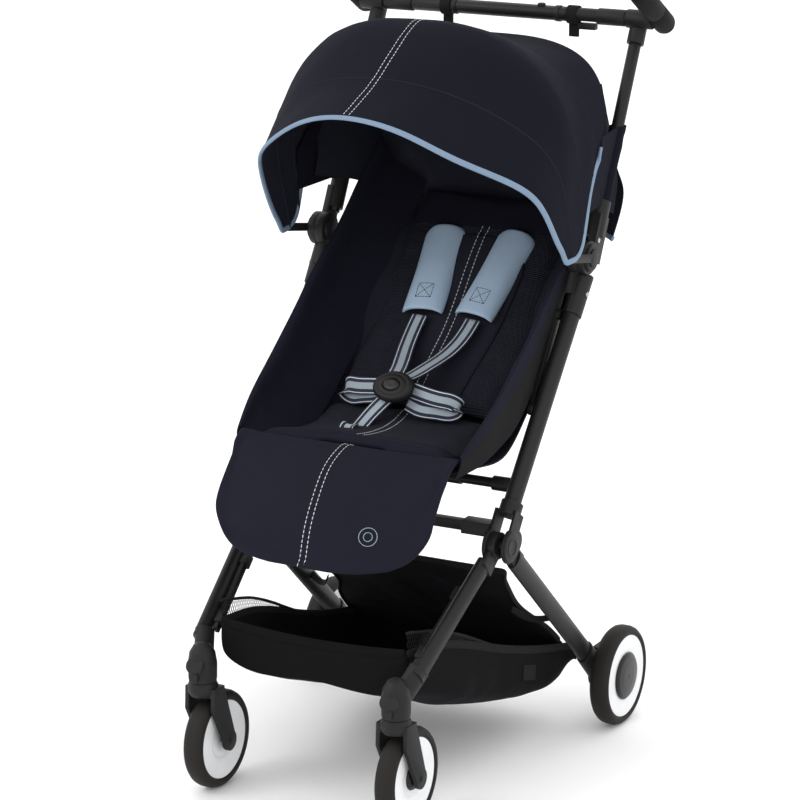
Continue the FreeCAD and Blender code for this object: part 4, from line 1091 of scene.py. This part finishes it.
def buckle():
    body = domed("buckle_shell", CAD_FINISH["black_plastic"], BUCKLE_SHELL)
    on(body, "frame")
    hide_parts("buckle")
    button = domed("buckle_press", CAD_FINISH["hub"], BUCKLE_PRESS)
    on(button, "buckle_button")
    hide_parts("buckle_button")


STRAP_WIDTH, STRAP_THICKNESS = 25.0, 1.7
SHOULDER, LAP, CROTCH = (1, 0.08, 0), (0, 0.35, 1), (1, 0.1, 0.1)      # the way each kind's width lies
STRAPS = {
    "strap_left": (SHOULDER, [
        (-46, 132, 604), (-45, 108, 586), (-38, 72, 566), (-24, 28, 552), (-17, 0, 546), (-13, -14, 546)]),
    "strap_right": (SHOULDER, [
        (40, 134, 606), (38, 112, 590), (30, 78, 570), (16, 32, 555), (7, 2, 548), (3, -12, 547)]),
    "loop_left": (LAP, [
        (-26, -14, 534), (-52, -12, 531), (-80, -4, 527), (-97, 4, 521), (-99, 6, 514), (-92, 4, 510),
        (-70, -4, 513), (-44, -12, 520), (-24, -10, 526)]),
    "loop_right": (LAP, [
        (20, -12, 533), (42, -14, 529), (66, -12, 525), (84, -8, 521), (90, -6, 515), (84, -8, 509),
        (62, -14, 508), (38, -20, 510), (14, -16, 516)]),
    "strap_crotch": (CROTCH, [
        (-14, -26, 522), (-22, -34, 512), (-32, -46, 498), (-40, -60, 484), (-46, -72, 478),
        (-49, -80, 482), (-47, -80, 489), (-42, -72, 490)]),
}
STRAPS_STAND_FOR = {"strap_left": "shoulder_straps", "loop_left": "lap_straps"}


def straps():
    """Webbing of the harness; the shoulder straps stay where they are made, the others ride the frame."""
    for name, (side, points) in STRAPS.items():
        path = smooth_line(points, 40 if side is SHOULDER else 60)
        piece = ribbon(name, path, STRAP_WIDTH, STRAP_THICKNESS, webbing, side)
        if side is SHOULDER:
            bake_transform(piece)
        else:
            on_seat(piece, "frame")
        if name in STRAPS_STAND_FOR:
            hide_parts(STRAPS_STAND_FOR[name])


# ---- basket

BASKET_STATIONS = [
    # y, floor height, rim height, half width at the floor, half width at the rim
    (-264, 181, 240, 143, 147),
    (-179, 146, 228, 150, 152),
    (-100, 116, 204, 156, 158),
    (-14, 89, 172, 161, 164),
    (91, 68, 140, 168, 173),
    (156, 65, 124, 172, 178),
    (198, 76, 114, 172, 181),
]
CURTAIN_FOOT, CURTAIN_TOP = np.array([0, 192.0, 92.0]), np.array([0, -30.0, 292.0])
ALONG_REAR_LEGS = (0, -0.67, -0.74)
CURTAIN_HALF = [(0, 181), (0.32, 176), (0.42, 170), (0.5, 156), (0.58, 150), (0.7, 153), (0.85, 160), (1, 172)]


def basket():
    """Open bag between the legs, with a curtain up the rear legs, net sides and a deep front band."""
    curves = [both_sides([(0, y, low - 4), (half_low - 16, y, low + 1), (half_low + 1, y, low + 14),
                          (half_high + 1, y, high * 0.55 + low * 0.45), (half_high, y, high)])
              for y, low, high, half_low, half_high in BASKET_STATIONS]
    rows, columns = 56, 81
    plain = lofted(curves, columns, rows, tautness=0.2)
    grid = crumpled(plain, 4.0, 80.0, 0.12)
    bag = sheet_piece("basket_bag", grid, basket_fabric, lambda p: p - Vector((0, -40, 260)), 1.6)
    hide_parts("basket")
    sheets, bindings = [(bag, plain)], []

    def sheet(name, points, outward, thickness):
        sheets.append((sheet_piece(name, points, basket_fabric, outward, thickness), points))

    def bound(name, line, section, hint, material=plain_webbing):
        bindings.append(swept(name, line, section, material, hint))

    front = grid[0]
    share = np.linspace(-1, 1, columns)
    lip = front[0] * (1 - share[:, None]) / 2 + front[-1] * (1 + share[:, None]) / 2
    lip = lip + (1 - share ** 2)[:, None] * np.array([0, -5.0, -6.0])
    band = [front * (1 - t) + lip * t + (0, -3 * math.sin(math.pi * t), 0) for t in np.linspace(0, 1, 14)]
    sheet("basket_front", np.array(band), (0, -1, 0), 1.8)
    bound("basket_fold", lip[1:-1], oval(3.2, 6.5, 12, 0.8), (0, 0.1, 1), basket_fabric)

    rise = np.linspace(0, 1, 40)
    widths = np.interp(rise, *zip(*CURTAIN_HALF))
    curtain = []
    for t, half in zip(rise, smooth_line(np.stack([widths, rise * 300], 1), 40)[:, 0]):
        middle = CURTAIN_FOOT * (1 - t) + CURTAIN_TOP * t
        sag = 6 * math.sin(math.pi * t)
        curtain.append([middle + (x * half, 4 - sag * (1 - x * x), -sag * 0.6 * (1 - x * x))
                        for x in np.linspace(-1, 1, 45)])
    curtain = crumpled(np.array(curtain), 5.0, 75.0, 0.1)
    sheet("basket_curtain", curtain, (0, -1, -1), 1.6)
    hem = np.concatenate([curtain[8:, 0], curtain[-1, 1:-1], curtain[8:, -1][::-1]])
    bound("curtain_binding", smooth_line(hem[::3], 160), oval(1.6, 4.0, 10, 0.8), ALONG_REAR_LEGS)
    foot = np.linspace(curtain[0, 0], curtain[0, -1], columns)
    sheet("basket_rear", np.array([grid[-1] * (1 - t) + foot * t for t in np.linspace(0, 1, 8)]), (0, 1, 0), 1.6)

    for (side, name), column in zip(SIDES, (0, -1)):
        rim = grid[:, column]
        bound("basket_binding_" + name, smooth_line(rim[::3], 90), oval(1.8, 6.0, 12, 0.8), (0, 0.3, 1))
        height = np.array([0, 0, 1]) * np.linspace(30, 2, 30)[:, None]
        net = crumpled(np.array([rim[:30] + height * t for t in np.linspace(0, 1, 8)]), 3.0, 30.0)
        sheets.append((grid_piece("basket_net_" + name, net, net_fabric, (side, 0, 0)), net))
        bound("basket_cord_" + name, net[-1], oval(2.2, 2.2, 10), (0, 0, 1))
        loop = [(side * x, y, z) for x, y, z in ((152, 40, 214), (172, 62, 196), (192, 74, 196), (204, 82, 200))]
        bound("basket_loop_" + name, smooth_line(loop, 24), oval(1.2, 5.0, 10, 0.8), ALONG_REAR_LEGS)
    label = np.array([grid[37:42, -1 - n] + (1.6, 0, 0) for n in range(4, 9)])
    bindings.append(sheet_piece("basket_label", label, plain_webbing, (1, 0, 0), 0.8))

    for piece in [sheet for sheet, _ in sheets] + bindings:
        on(piece, "rear_legs")
        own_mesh(piece)
    for piece, flat in sheets:
        if piece is bag:
            cloth(flat)
        else:
            cloth(flat)


# ---- build

finish_cad_nodes()
place_camera()
studio()
canopy()
rear_flap()
gussets()
sleeves()
backrest()
seat_cushion()
side_walls()
sling()
leg_rest()
shoulder_pads()
buckle()
straps()
basket()
